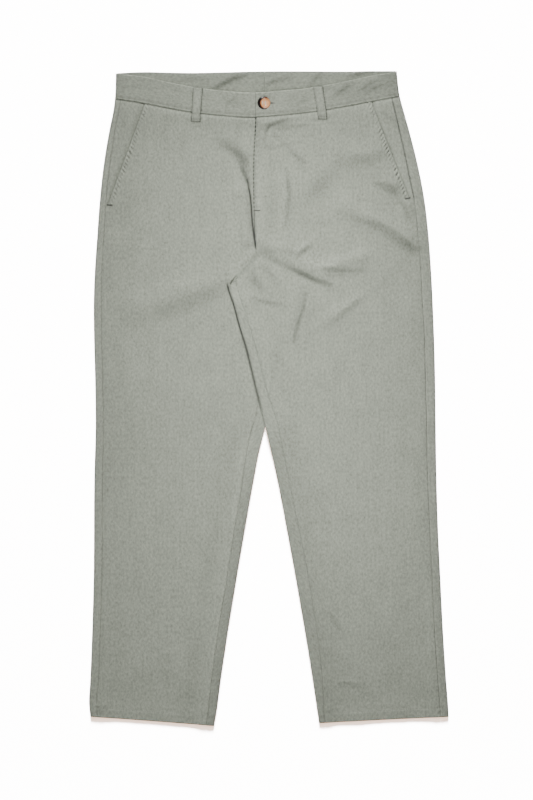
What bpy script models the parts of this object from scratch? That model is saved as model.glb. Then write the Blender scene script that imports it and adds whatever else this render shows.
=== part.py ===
"""Corduroy trousers laid flat on their back: one closed solid for each piece that is cut and sewn.

The trousers lie in the XY plane, waistband towards +Y, front upwards, and the wearer's left leg
at +X.  All sizes below are in millimetres of the real garment.  X counts from the middle of the
whole outline and Y from half its length; the last step puts the origin under the middle of the
finished shape.

A leg is a flattened tube of two pieces.  Its back piece lies on the ground, rolls round both
side edges and ends a finger's width in on the upper side, where the front piece meets it at the
outseam and the inseam.  Every height is worked out from the same few surfaces: how far the
lowest layer is off the ground, and how high the upper side stands over that.
"""

import math
from collections import namedtuple

import bmesh
import bpy
import numpy as np

MM = 0.001

# --- Cloth -------------------------------------------------------------------------------------
CLOTH = 1.4            # needlecord, one layer
BAND = 2.8             # waistband, two layers
TURN_UP = 1.0          # what the turned-up hem adds to a wall
HEM_DEPTH = 15.0       # depth of the turned-up hem
HEM_BLEND = 3.0        # half the length over which the hem's thickness comes in
SEAM = 0.3             # gap between pieces that meet at a seam
CURVE_CLEAR = 0.1      # what a seam that curves needs on top of that
REST = 0.6             # air between layers that lie on each other
EDGE_HEIGHT = 5.4      # height of a leg's rolled side edge
PRESSED_HEIGHT = 3.4   # the same where the other leg lies on it

# --- Waistband ---------------------------------------------------------------------------------
BAND_HEIGHT = 39.6
BAND_REST = 0.4        # air between the band's layers
BAND_EDGE_HEIGHT = 7.4 # height of the band's rolled side edge
BAND_SIDE_RUN = 45.0   # the band settles to its flat level this far in from the side
BAND_PROUD = 0.7       # how far the band stands over the cloth sewn to it
BAND_SLOPE_RUN = 25.0  # the fronts come down from the band over this length
BACK_SEAM_X = -6.8     # the band's centre-back seam
OVERLAP_END_X = -20.8  # where the left band ends on the right one
UNDERLAP_END_X = 15.0  # where the right band ends under the left one
OVERLAP_CLEAR = 3.0    # the left band stays lifted this far past that end
OVERLAP_RUN = 40.0     # and then comes down over this length
BAND_ROWS = 3
BAND_UNDER_COLUMNS = 6
BAND_UPPER_COLUMNS = 14
BAND_ROLL_STEPS = 6

# --- Fly and pockets ---------------------------------------------------------------------------
FLY_X = -21.9          # free edge of the left front, at its straight middle part
FLY_UNDERLAP = 15.0    # how far the right front reaches under it
FLY_CLEAR = 2.0
FLY_RUN = 24.0         # the left front comes down to its own level over this length
FLY_END_Y = 238.0      # lower end of the fly's overlap
FLY_FADE = 22.0
FLY_GAP = 1.4          # what lies between the two fronts at the fly
FACING_UNDERLAP = 14.0 # how far the hip facing reaches under the front's pocket edge
FACING_GAP = 0.7
FACING_DROP_RUN = 14.0 # the facing goes down below the front within this length
FACING_COLUMNS = 5
POCKET_LIFT = 0.6      # how far the pocket's folded edge stands up
POCKET_LIFT_RUN = 12.0
POCKET_PLATEAU = 15.0  # the upper side stays high this far inside the pocket edge

# --- Where one leg lies on the other -----------------------------------------------------------
CROTCH_Y = 177.0       # where the two inseams meet the crotch seam
CROSSING_Y = 143.0     # from here down the right leg's edge is under the left leg
OVER_HEIGHT = 3.9      # the left leg's lift over the right one
OVER_CLEAR = 2.0
OVER_RUN = 60.0        # the lifted leg comes back to the ground over this length
OVER_TOP_RUN = 31.0    # and is lifted within this length below the crotch
OVER_FADE_Y = (-52.0, -110.0)
SIDE_BY_SIDE = 0.5     # gap between the legs between crotch and crossing
CROTCH_RISE = 14.0     # how far the inseam's start lies above the rolled edge's start
CROTCH_RISE_RUN = 50.0

# --- Belt loops and button ---------------------------------------------------------------------
LOOP_WIDTH = 13.5
LOOP_THICK = 2.2
LOOP_BELOW_BAND = 14.0
LOOP_TOP_INSET = 0.8
LOOP_LEVEL_RUN = 5.6   # a front loop stays level with the band this far below it
LOOP_ARCH = 1.6        # how far a front loop bows away from the band
LOOP_EDGE_DROP = 0.7   # its long edges are rounded off by this much
LOOP_EDGE_WIDTH = 0.25 # over this part of its half width
LOOP_STATIONS = 10
LOOP_LIFT = LOOP_THICK + SEAM   # the back loops hold the waist this far off the ground
LIFT_Y = (396.0, 448.0)         # where the back comes up on to them
BUTTON_X = -7.6
BUTTON_Y = 457.2
BUTTON_RADIUS = 10.0
BUTTON_HEIGHT = 3.6
BUTTON_RIM = 2.4       # width of its raised rim
BUTTON_ROUND = 0.9     # rounding of the rim's outer edge
BUTTON_RIM_FALL = 0.3  # how far the rim comes down before the dish starts
BUTTON_DISH = 1.2      # how far its middle lies below the rim
BUTTON_HOLE_RADIUS = 1.0
BUTTON_HOLE_SPACING = 4.2
BUTTON_SEGMENTS = 32
HOLE_SEGMENTS = 12

# --- Folds of the upper side -------------------------------------------------------------------
EDGE_SETTLE = 40.0     # the upper side comes down from a side edge over this length
INSEAM_SETTLE = 30.0

# --- Rows --------------------------------------------------------------------------------------
WAIST_ROW = 450.0      # nominal row of the waist seam
WAIST_BEND_END = 335.0 # rows run straight across below this
HEM_TILT_START = -230.0
ROWS = (WAIST_ROW - SEAM, 444, 434, 422, 408, 394, 380, 366, 352, 338, 324, 290, 278, 266, 254,
        241, FLY_END_Y, 227, 215, 203, 190, CROTCH_Y, 165, 154, CROSSING_Y, 128, 108, 80, 45, 8,
        -20, -37, -57, -85, -125, -185, -250, -320, -390, -445)
HEM_ROWS = (24.0, HEM_DEPTH + HEM_BLEND, HEM_DEPTH - HEM_BLEND, 0.0)
POCKET_END_ROWS = (6.0, 0.5, -5.0)

FRONT_COLUMNS = 15
FRONT_CROWDING = 1.3   # above 1 the columns crowd towards the fly and the inseam
BOTTOM_COLUMNS = 9
BOTTOM_CROWDING = 1.4
ROLL_STEPS = 4         # steps round a leg's rolled edge
SETTLE_STEPS = 5       # how often a row's ends are worked out anew
SHARP_ANGLE = 50.0     # faces that meet at more degrees than this keep a sharp edge

# --- Colours -----------------------------------------------------------------------------------
CORD_COLOUR = (0.36, 0.38, 0.33)
CORD_ROUGHNESS = 0.9
BUTTON_COLOUR = (0.17, 0.07, 0.025)
BUTTON_ROUGHNESS = 0.35

WaistRow = namedtuple("WaistRow", "x front_top front_seam back_top")
WAIST = (
    WaistRow(-236, 503.3, 463.8, 504.8),
    WaistRow(-194, 499.0, 457.6, 506.6),
    WaistRow(-157, 490.8, 450.3, 505.8),
    WaistRow(-118, 483.2, 443.6, 505.2),
    WaistRow(-77, 477.8, 439.2, 506.0),
    WaistRow(-21, 474.2, 436.2, 507.4),
    WaistRow(27, 477.6, 439.8, 507.8),
    WaistRow(73, 483.2, 445.4, 507.6),
    WaistRow(122, 492.6, 453.4, 507.4),
    WaistRow(159, 500.4, 460.6, 508.0),
    WaistRow(200, 507.2, 467.6, 508.2),
)

# The side edges, and how far inside them the outseam shows.
OuterRow = namedtuple("OuterRow", "y x seam")
RIGHT_OUTER = (
    OuterRow(510, -237.1, 9), OuterRow(464, -238.8, 9), OuterRow(440, -242.3, 9),
    OuterRow(420, -246.7, 9), OuterRow(390, -252.3, 10), OuterRow(350, -258.1, 10),
    OuterRow(300, -263.1, 10), OuterRow(250, -266.7, 11), OuterRow(200, -270.1, 11),
    OuterRow(150, -271.9, 12), OuterRow(100, -271.4, 12), OuterRow(30, -269.7, 12),
    OuterRow(-40, -268.9, 12), OuterRow(-120, -270.9, 13), OuterRow(-280, -272.1, 13),
    OuterRow(-360, -274.3, 13), OuterRow(-440, -277.5, 13), OuterRow(-472, -279.1, 12),
    OuterRow(-491, -277.3, 11), OuterRow(-515, -276.1, 11),
)
LEFT_OUTER = (
    OuterRow(510, 197.9, 13), OuterRow(468, 203.0, 13), OuterRow(440, 210.7, 14),
    OuterRow(420, 216.5, 15), OuterRow(390, 224.5, 16), OuterRow(350, 233.9, 17),
    OuterRow(300, 242.7, 16), OuterRow(250, 248.1, 16), OuterRow(200, 251.7, 16),
    OuterRow(150, 254.3, 16), OuterRow(100, 256.3, 15), OuterRow(30, 258.1, 15),
    OuterRow(-40, 258.9, 14), OuterRow(-120, 260.1, 14), OuterRow(-200, 262.5, 13),
    OuterRow(-280, 266.3, 13), OuterRow(-360, 270.3, 13), OuterRow(-440, 275.5, 13),
    OuterRow(-480, 278.5, 13), OuterRow(-515, 279.9, 12),
)

# The inner edges below the crotch, and how far inside them the inseam shows.
InnerRow = namedtuple("InnerRow", "y x seam")
LEFT_INNER = (
    InnerRow(CROTCH_Y, -61.8, 11), InnerRow(121, -47.7, 15), InnerRow(60, -32.2, 17),
    InnerRow(5, -18.9, 18), InnerRow(-37, -7.2, 20), InnerRow(-80, 3.0, 19),
    InnerRow(-120, 12.0, 18), InnerRow(-200, 27.4, 19), InnerRow(-280, 42.0, 20),
    InnerRow(-360, 55.8, 19), InnerRow(-440, 68.6, 15), InnerRow(-490, 76.0, 10),
    InnerRow(-515, 79.8, 9),
)
RIGHT_INNER = (
    InnerRow(CROSSING_Y, -48.3, 5), InnerRow(121, -35.3, 9), InnerRow(90, -22.9, 12),
    InnerRow(59, -13.5, 13), InnerRow(28, -7.3, 13), InnerRow(5, -4.8, 12),
    InnerRow(-20, -3.9, 15), InnerRow(-40, -5.1, 19), InnerRow(-57, -8.8, 20),
    InnerRow(-80, -14.7, 19), InnerRow(-120, -22.5, 17), InnerRow(-200, -36.7, 16),
    InnerRow(-280, -50.3, 15), InnerRow(-360, -63.3, 15), InnerRow(-440, -75.1, 14),
    InnerRow(-480, -80.3, 13), InnerRow(-515, -86.5, 12),
)

# The seams on the centre line: the crotch seam under the fly, and the centre-back seam.
RiseRow = namedtuple("RiseRow", "y x")
FRONT_RISE = (
    RiseRow(460, -19.0), RiseRow(420, -19.8), RiseRow(385, FLY_X), RiseRow(290, FLY_X),
    RiseRow(250, -20.6), RiseRow(233, -20.4), RiseRow(217, -28.0), RiseRow(204, -39.4),
    RiseRow(190, -52.4), RiseRow(CROTCH_Y, -61.8),
)
BACK_RISE = (
    RiseRow(470, BACK_SEAM_X), RiseRow(330, -8.0), RiseRow(260, -14.0), RiseRow(227, -26.0),
    RiseRow(203, -42.0), RiseRow(190, -52.0), RiseRow(CROTCH_Y, -62.3),
)

# Folds of the fronts: a ridge from one point to another, its half width and its height.
Fold = namedtuple("Fold", "x1 y1 x2 y2 width height")
FOLDS = (
    Fold(-62, 372, -45, 330, 15, 2.4),      # right front, beside the fly: upper part
    Fold(-45, 318, -33, 246, 11, 4.2),      # the same fold's deep lower part
    Fold(-8, 400, -8, 250, 10, 2.4),        # the fly's own edge
    Fold(-24, 226, -58, 184, 7, 1.8),       # crotch seam
    Fold(-2, 238, 62, 206, 12, 4.0),        # left thigh: the fold over the deepest crease
    Fold(96, 208, 148, 222, 11, 3.0),       # its second arm
    Fold(42, 170, 38, 120, 10, 2.0),        # left thigh, upright
    Fold(116, 300, 206, 246, 14, 3.0),      # left hip, across to the side seam
    Fold(156, 372, 196, 338, 12, 2.6),      # below the left pocket's mouth
    Fold(10, 424, 34, 432, 9, 1.8),         # under the band beside the fly
    Fold(-72, 186, -206, 146, 20, 2.2),     # right thigh, from the crotch outwards
    Fold(-196, 330, -206, 236, 22, 1.4),    # right hip, over the pocket
    Fold(20, 330, 60, 300, 18, 1.6),        # left front, beside the fly
)

# The hems: their height at the middle of the leg, and how they slope towards +X.
Hem = namedtuple("Hem", "row slope")
RIGHT_HEM = Hem(-500.3, -0.074)
LEFT_HEM = Hem(-498.1, 0.049)

# The pockets' slanted edges, from the upper end to the lower one.
PocketEnd = namedtuple("PocketEnd", "x y")
RIGHT_POCKET = (PocketEnd(-191.3, 459.0), PocketEnd(-249.6, 300.0))
LEFT_POCKET = (PocketEnd(159.3, 459.0), PocketEnd(217.9, 310.5))

Leg = namedtuple("Leg", (
    "name", "side", "outer", "seam_out", "inner", "seam_in", "hem_row", "hem_slope", "pocket_top",
    "pocket_end"))


# --- Curves and steps --------------------------------------------------------------------------
def smooth_curve(rows, key, value):
    """A function through a table's rows: cubic between them and level past its ends."""
    pairs = sorted((getattr(row, key), getattr(row, value)) for row in rows)
    knots = np.array([pair[0] for pair in pairs], dtype=float)
    heights = np.array([pair[1] for pair in pairs], dtype=float)
    slopes = np.gradient(heights, knots)

    def curve(where):
        where = np.clip(where, knots[0], knots[-1])
        index = np.clip(np.searchsorted(knots, where, side="right") - 1, 0, len(knots) - 2)
        width = knots[index + 1] - knots[index]
        part = (where - knots[index]) / width
        rest = 1.0 - part
        return (heights[index] * (1.0 + 2.0 * part) * rest * rest
                + heights[index + 1] * (3.0 - 2.0 * part) * part * part
                + slopes[index] * width * part * rest * rest
                - slopes[index + 1] * width * part * part * rest)

    return curve


def step(value, start, end):
    """0 at start, 1 at end, with level ends; start may be the larger of the two."""
    part = np.clip((value - start) / (end - start), 0.0, 1.0)
    return part * part * (3.0 - 2.0 * part)


front_top = smooth_curve(WAIST, "x", "front_top")
front_seam = smooth_curve(WAIST, "x", "front_seam")
back_top = smooth_curve(WAIST, "x", "back_top")
front_rise = smooth_curve(FRONT_RISE, "y", "x")
back_rise = smooth_curve(BACK_RISE, "y", "x")


def back_seam(x):
    """The back band's lower edge."""
    return back_top(x) - BAND_HEIGHT


def make_leg(name, side, outer, inner, hem, pocket):
    return Leg(
        name=name,
        side=side,
        outer=smooth_curve(outer, "y", "x"),
        seam_out=smooth_curve(outer, "y", "seam"),
        inner=smooth_curve(inner, "y", "x"),
        seam_in=smooth_curve(inner, "y", "seam"),
        hem_row=hem.row,
        hem_slope=hem.slope,
        pocket_top=pocket[0],
        pocket_end=pocket[1],
    )


RIGHT = make_leg("right", -1, RIGHT_OUTER, RIGHT_INNER, RIGHT_HEM, RIGHT_POCKET)
LEFT = make_leg("left", 1, LEFT_OUTER, LEFT_INNER, LEFT_HEM, LEFT_POCKET)
LEGS = (RIGHT, LEFT)


def hem_middle(leg):
    return (leg.outer(leg.hem_row) + leg.inner(leg.hem_row)) / 2.0


def row_y(leg, row, x, waist_seam):
    """Where a row runs at x: the rows bend to the waist seam and tilt to the hem."""
    bend = (waist_seam(x) - WAIST_ROW) * step(row, WAIST_BEND_END, WAIST_ROW)
    tilt = leg.hem_slope * (x - hem_middle(leg)) * step(row, HEM_TILT_START, leg.hem_row)
    return row + bend + tilt


def row_end(leg, row, waist_seam, edge):
    """The x at which a row meets an edge that is given as a function of y."""
    x = edge(row)
    for _ in range(SETTLE_STEPS):
        x = edge(row_y(leg, row, x, waist_seam))
    return float(x)


def leg_rows(leg):
    """All rows of a leg, from the waist seam to the hem, with those at the pocket's lower end."""
    rows = list(ROWS)
    rows += [leg.pocket_end.y + offset for offset in POCKET_END_ROWS]
    rows += [leg.hem_row + offset for offset in HEM_ROWS]
    return sorted(rows, reverse=True)


# --- Heights -----------------------------------------------------------------------------------
def hem_distance(leg, x, y):
    return y - leg.hem_row - leg.hem_slope * (x - hem_middle(leg))


def wall(leg, x, y):
    """Thickness of the cloth, with the hem turned up inside."""
    return CLOTH + TURN_UP * step(hem_distance(leg, x, y), HEM_DEPTH + HEM_BLEND, HEM_DEPTH - HEM_BLEND)


def ground(leg, x, y):
    """How far the lowest layer is off the ground: on the back loops, or on the other leg."""
    lift = LOOP_LIFT * step(y, *LIFT_Y)
    if leg is RIGHT:
        return lift + 0.0 * x
    edge = RIGHT.inner(y) + OVER_CLEAR
    along = step(y, CROTCH_Y, CROTCH_Y - OVER_TOP_RUN) * step(y, OVER_FADE_Y[1], OVER_FADE_Y[0])
    return lift + OVER_HEIGHT * along * step(x, edge + OVER_RUN, edge)


def relief(x, y):
    """The folds of the upper side."""
    total = 0.0 * x * y
    for fold in FOLDS:
        run_x = fold.x2 - fold.x1
        run_y = fold.y2 - fold.y1
        part = ((x - fold.x1) * run_x + (y - fold.y1) * run_y) / (run_x ** 2 + run_y ** 2)
        part = np.clip(part, 0.0, 1.0)
        away = np.hypot(x - fold.x1 - part * run_x, y - fold.y1 - part * run_y)
        total = total + fold.height * np.exp(-((away / fold.width) ** 2))
    return total


def pocket_x(leg, y):
    """The pocket's edge, a straight line from the waist seam to its lower end."""
    part = (y - leg.pocket_end.y) / (leg.pocket_top.y - leg.pocket_end.y)
    return leg.pocket_end.x + (leg.pocket_top.x - leg.pocket_end.x) * part


def outseam_x(leg, y):
    return leg.outer(y) - leg.side * leg.seam_out(y)


def inseam_x(leg, y):
    return leg.inner(y) + leg.side * leg.seam_in(y)


def band_level(leg, x):
    """Upper side of the front band over its ground."""
    flat = 2.0 * BAND + BAND_REST
    inside = leg.side * (leg.outer(WAIST_ROW) - x)
    level = flat + (BAND_EDGE_HEIGHT - flat) * step(inside, BAND_SIDE_RUN, 0.0)
    if leg is RIGHT:
        return level
    lifted = UNDERLAP_END_X + OVERLAP_CLEAR
    return level + (BAND + BAND_REST) * step(x, lifted + OVERLAP_RUN, lifted)


def inner_height(leg, y):
    """Height of the inner rolled edge: pressed flat where the legs cross."""
    if leg is RIGHT:
        return PRESSED_HEIGHT + (EDGE_HEIGHT - PRESSED_HEIGHT) * step(y, *OVER_FADE_Y)
    return PRESSED_HEIGHT + (EDGE_HEIGHT - PRESSED_HEIGHT) * step(y, CROTCH_Y, CROSSING_Y)


def upper(leg, x, y):
    """Upper side of the outermost layer, over the ground."""
    flat = 2.0 * wall(leg, x, y) + REST
    from_outer = leg.side * (leg.outer(y) - x)
    from_inner = leg.side * (x - leg.inner(y))
    at_pocket = leg.side * (leg.outer(y) - pocket_x(leg, y)) + POCKET_PLATEAU
    open_part = step(y, leg.pocket_end.y - POCKET_PLATEAU, leg.pocket_end.y + POCKET_PLATEAU)
    high = leg.seam_out(y) + open_part * np.maximum(at_pocket - leg.seam_out(y), 0.0)
    level = flat + (EDGE_HEIGHT - flat) * step(from_outer, high + EDGE_SETTLE, high)
    below = step(y, CROTCH_Y + CROTCH_RISE, CROSSING_Y)
    near = step(from_inner, leg.seam_in(y) + INSEAM_SETTLE, leg.seam_in(y))
    level = level + np.maximum(inner_height(leg, y) - flat, 0.0) * near * below
    level = level + relief(x, y)
    if leg is LEFT:
        lapped = FLY_X + FLY_UNDERLAP + FLY_CLEAR
        lap = step(x, lapped + FLY_RUN, lapped) * step(y, FLY_END_Y - FLY_FADE, FLY_END_Y)
        level = level + (CLOTH + FLY_GAP) * lap
    from_band = front_seam(x) - y
    at_band = step(from_band, BAND_SLOPE_RUN, 0.0)
    return level + (band_level(leg, x) - BAND_PROUD - level) * at_band


def front_upper(leg, x, y):
    """Upper side of a front piece, whose folded pocket edge stands up a little."""
    inside = leg.side * (pocket_x(leg, y) - x)
    mouth = step(y, leg.pocket_end.y, leg.pocket_end.y + POCKET_PLATEAU)
    lift = mouth * step(inside, POCKET_LIFT_RUN, 0.0)
    return ground(leg, x, y) + upper(leg, x, y) + POCKET_LIFT * lift


# --- Meshes ------------------------------------------------------------------------------------
def solid_from_sheets(name, outside, inside, used=None):
    """A closed wall between two grids of points; used says which of its cells exist."""
    rows, columns = outside.shape[:2]
    if used is None:
        used = np.ones((rows - 1, columns - 1), dtype=bool)
    mesh_data = bmesh.new()
    corners = {}

    def corner(layer, i, j):
        if (layer, i, j) not in corners:
            point = (outside, inside)[layer][i, j] * MM
            corners[layer, i, j] = mesh_data.verts.new(point)
        return corners[layer, i, j]

    def is_used(i, j):
        return 0 <= i < rows - 1 and 0 <= j < columns - 1 and used[i, j]

    for i, j in zip(*np.nonzero(used)):
        ring = ((i, j), (i, j + 1), (i + 1, j + 1), (i + 1, j))
        mesh_data.faces.new([corner(0, *place) for place in ring])
        mesh_data.faces.new([corner(1, *place) for place in reversed(ring)])
        beyond = ((i - 1, j), (i, j + 1), (i + 1, j), (i, j - 1))
        for side in range(4):
            if not is_used(*beyond[side]):
                first, second = ring[side], ring[(side + 1) % 4]
                rim = (corner(0, *second), corner(0, *first), corner(1, *first), corner(1, *second))
                mesh_data.faces.new(rim)
    bmesh.ops.recalc_face_normals(mesh_data, faces=mesh_data.faces)
    return object_from_bmesh(name, mesh_data)


def object_from_bmesh(name, mesh_data):
    mesh = bpy.data.meshes.new(name)
    mesh_data.to_mesh(mesh)
    mesh_data.free()
    mesh.shade_smooth()
    mesh.set_sharp_from_angle(angle=math.radians(SHARP_ANGLE))
    piece = bpy.data.objects.new(name, mesh)
    bpy.context.scene.collection.objects.link(piece)
    return piece


def stack(x, y, z):
    return np.stack(np.broadcast_arrays(x, y, z), axis=-1)


def crowded(count, power):
    """Fractions from 0 to 1 that crowd towards 0."""
    return (np.arange(count + 1) / count) ** power


def roll(x_edge, side, height, thick, steps):
    """A rolled edge's outside and inside, from the upper side to the lower, as x and height."""
    angle = np.linspace(math.pi / 2.0, -math.pi / 2.0, steps + 1)[1:-1]
    radius = height / 2.0
    middle = x_edge - side * radius
    outside = (middle + side * radius * np.cos(angle), radius + radius * np.sin(angle))
    small = radius - thick
    inside = (middle + side * small * np.cos(angle), radius + small * np.sin(angle))
    return outside, inside


# --- Fronts ------------------------------------------------------------------------------------
def crotch_lift(leg, row):
    """How far a row of the left leg bends up towards the start of the inseam."""
    if leg is RIGHT:
        return 0.0
    return CROTCH_RISE * step(abs(row - CROTCH_Y), CROTCH_RISE_RUN, 0.0)


def front_inner_x(leg, row, y):
    """Inner edge of a front: the fly, the crotch seam and the inseam in turn."""
    gap = SEAM / 2.0 + CURVE_CLEAR
    if leg is LEFT:
        return front_rise(y) + gap if row > CROTCH_Y else inseam_x(LEFT, y) + gap
    if row > FLY_END_Y:
        return FLY_X + FLY_UNDERLAP
    if row > CROTCH_Y:
        return front_rise(y) - gap
    if row > CROSSING_Y:
        return LEFT.inner(y) - SIDE_BY_SIDE
    return inseam_x(RIGHT, y) - gap


def front_outer_x(leg, row, y):
    """Outer edge of a front: the slanted pocket edge, then the outseam."""
    if row > leg.pocket_end.y:
        return pocket_x(leg, y)
    return outseam_x(leg, y) - leg.side * SEAM / 2.0


def front_row(leg, row, fractions):
    """Points along one row of a front, from its inner edge to its outer one."""
    lift = crotch_lift(leg, row)
    x_out = row_end(leg, row, front_seam, lambda y: front_outer_x(leg, row, y))
    x_in = row_end(leg, row, front_seam, lambda y: front_inner_x(leg, row, y + lift))
    x = x_in + (x_out - x_in) * fractions
    y = row_y(leg, row, x, front_seam) + lift * step(abs(x - x_in), CROTCH_RISE_RUN, 0.0)
    return x, y


def front_piece(leg):
    fractions = crowded(FRONT_COLUMNS, FRONT_CROWDING)
    rows = [front_row(leg, row, fractions) for row in leg_rows(leg)]
    x = np.array([row[0] for row in rows])
    y = np.array([row[1] for row in rows])
    top = front_upper(leg, x, y)
    return solid_from_sheets("front_" + leg.name, stack(x, y, top), stack(x, y, top - wall(leg, x, y)))


# --- Backs -------------------------------------------------------------------------------------
BackEnds = namedtuple("BackEnds", "flap_out edge_out edge_in flap_in rolled_in lift")


def back_ends(leg, row):
    """Where a row of a back piece ends: its flap and rolled edge at each side, as far as it has them."""
    side = leg.side
    lift = crotch_lift(leg, row)
    edge_out = row_end(leg, row, front_seam, leg.outer)
    flap_out = row_end(leg, row, front_seam, lambda y: outseam_x(leg, y) + side * SEAM / 2.0)
    rolled_in = row <= (CROTCH_Y if leg is LEFT else CROSSING_Y)
    if rolled_in:
        edge_in = row_end(leg, row, back_seam, leg.inner)
        flap_in = row_end(leg, row, back_seam, lambda y: inseam_x(leg, y + lift) - side * SEAM / 2.0)
    elif leg is RIGHT and row <= CROTCH_Y:
        edge_in = row_end(leg, row, back_seam, lambda y: LEFT.inner(y) - SIDE_BY_SIDE)
        flap_in = edge_in
    else:
        edge_in = row_end(leg, row, back_seam, lambda y: back_rise(y) + side * SEAM / 2.0)
        flap_in = edge_in
    return BackEnds(flap_out, edge_out, edge_in, flap_in, rolled_in, lift)


def back_row(leg, row):
    """One row of a back piece: outer flap, rolled edge, underside, rolled edge and inner flap."""
    side = leg.side
    ends = back_ends(leg, row)
    y_out = float(row_y(leg, row, ends.edge_out, front_seam))
    height_out = float(upper(leg, ends.edge_out - side * EDGE_HEIGHT / 2.0, y_out))
    thick = float(wall(leg, ends.edge_out, y_out))
    y_in = float(row_y(leg, row, ends.edge_in, back_seam))
    height_in = 0.0
    if ends.rolled_in:
        height_in = float(upper(leg, ends.edge_in + side * PRESSED_HEIGHT / 2.0, y_in))

    start = ends.edge_out - side * height_out / 2.0
    end = ends.edge_in + side * height_in / 2.0
    bottom = end + (start - end) * crowded(BOTTOM_COLUMNS, BOTTOM_CROWDING)[::-1]
    outside_out, inside_out = roll(ends.edge_out, side, height_out, thick, ROLL_STEPS)
    outside_in, inside_in = roll(ends.edge_in, -side, max(height_in, PRESSED_HEIGHT), thick, ROLL_STEPS)
    flap_xs = np.array([ends.flap_out, start])
    inner_xs = np.array([end, ends.flap_in])
    x_outside = np.concatenate([flap_xs, outside_out[0], bottom, outside_in[0][::-1], inner_xs])
    x_inside = np.concatenate([flap_xs, inside_out[0], bottom, inside_in[0][::-1], inner_xs])

    turn = np.linspace(1.0, 0.0, ROLL_STEPS + 1)[1:-1]
    rolled = np.concatenate([np.ones(len(flap_xs)), turn, np.zeros(len(bottom)), turn[::-1],
                             np.ones(len(inner_xs))])
    y_front = row_y(leg, row, x_outside, front_seam)
    y_back = row_y(leg, row, x_outside, back_seam)
    y = y_back + (y_front - y_back) * rolled
    if ends.rolled_in:
        y[-1] += ends.lift

    over = ground(leg, x_outside, y)
    top = np.array([upper(leg, x, y_here) for x, y_here in zip(x_outside, y)])
    z_outside = np.concatenate([top[:2], outside_out[1], 0.0 * bottom, outside_in[1][::-1], top[-2:]])
    z_inside = np.concatenate([top[:2] - thick, inside_out[1], 0.0 * bottom + thick, inside_in[1][::-1],
                               top[-2:] - thick])
    z_outside[1] = height_out
    z_inside[1] = height_out - thick
    if ends.rolled_in:
        z_outside[-2] = height_in
        z_inside[-2] = height_in - thick
    return stack(x_outside, y, over + z_outside), stack(x_inside, y, over + z_inside)


def back_piece(leg):
    rows = leg_rows(leg)
    sheets = [back_row(leg, row) for row in rows]
    outside = np.array([sheet[0] for sheet in sheets])
    inside = np.array([sheet[1] for sheet in sheets])
    used = np.ones((len(rows) - 1, outside.shape[1] - 1), dtype=bool)
    first_inner = CROTCH_Y if leg is LEFT else CROSSING_Y
    inner_cells = ROLL_STEPS + 1
    for i, row in enumerate(rows[:-1]):
        if row > first_inner:
            used[i, -inner_cells:] = False
    return solid_from_sheets("back_" + leg.name, outside, inside, used)


# --- Hip facings -------------------------------------------------------------------------------
def hip_facing(leg):
    """The cloth that shows in the pocket's mouth: level with the side seam, then under the front."""
    side = leg.side
    outside, inside = [], []
    for row in leg_rows(leg):
        if row <= leg.pocket_end.y:
            break
        x_seam = row_end(leg, row, front_seam, lambda y: outseam_x(leg, y) - side * SEAM / 2.0)
        x_mouth = row_end(leg, row, front_seam, lambda y: pocket_x(leg, y))
        shown = side * (x_seam - x_mouth)
        down_by = min(FACING_DROP_RUN, shown)
        under_front = shown + FACING_UNDERLAP * np.array([0.5, 1.0])
        across = np.concatenate([np.linspace(0.0, down_by, FACING_COLUMNS), under_front])
        x = x_seam - side * across
        y = row_y(leg, row, x, front_seam)
        drop = (CLOTH + FACING_GAP) * step(across, 0.0, down_by)
        top = ground(leg, x, y) + upper(leg, x, y) - drop
        outside.append(stack(x, y, top))
        inside.append(stack(x, y, top - CLOTH))
    return solid_from_sheets("hip_facing_" + leg.name, np.array(outside), np.array(inside))


# --- Waistband ---------------------------------------------------------------------------------
def waistband(leg):
    """One half of the band: from the centre-back seam, round the side, to the fly."""
    side = leg.side
    front_end = OVERLAP_END_X if leg is LEFT else UNDERLAP_END_X
    rolled = np.concatenate([np.zeros(BAND_UNDER_COLUMNS + 1), np.linspace(0, 1, BAND_ROLL_STEPS + 1)[1:-1],
                             np.ones(BAND_UPPER_COLUMNS + 1)])
    outside, inside = [], []
    for part in np.linspace(0.0, 1.0, BAND_ROWS + 1):
        edge = leg.outer(front_seam(leg.outer(WAIST_ROW)) + part * BAND_HEIGHT)
        turn = edge - side * BAND_EDGE_HEIGHT / 2.0
        under = np.linspace(BACK_SEAM_X + side * SEAM / 2.0, turn, BAND_UNDER_COLUMNS + 1)
        above = np.linspace(turn, front_end, BAND_UPPER_COLUMNS + 1)
        roll_out, roll_in = roll(edge, side, BAND_EDGE_HEIGHT, BAND, BAND_ROLL_STEPS)
        level = band_level(leg, above)
        x_out = np.concatenate([under, roll_out[0][::-1], above])
        x_in = np.concatenate([under, roll_in[0][::-1], above])
        low = back_seam(x_out) + (front_seam(x_out) - back_seam(x_out)) * rolled
        high = back_top(x_out) + (front_top(x_out) - back_top(x_out)) * rolled
        y = low + (high - low) * part
        over = ground(leg, x_out, y)
        z_out = np.concatenate([0.0 * under, roll_out[1][::-1], level])
        z_in = np.concatenate([0.0 * under + BAND, roll_in[1][::-1], level - BAND])
        outside.append(stack(x_out, y, over + z_out))
        inside.append(stack(x_in, y, over + z_in))
    return solid_from_sheets("waistband_" + leg.name, np.array(outside), np.array(inside))


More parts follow.
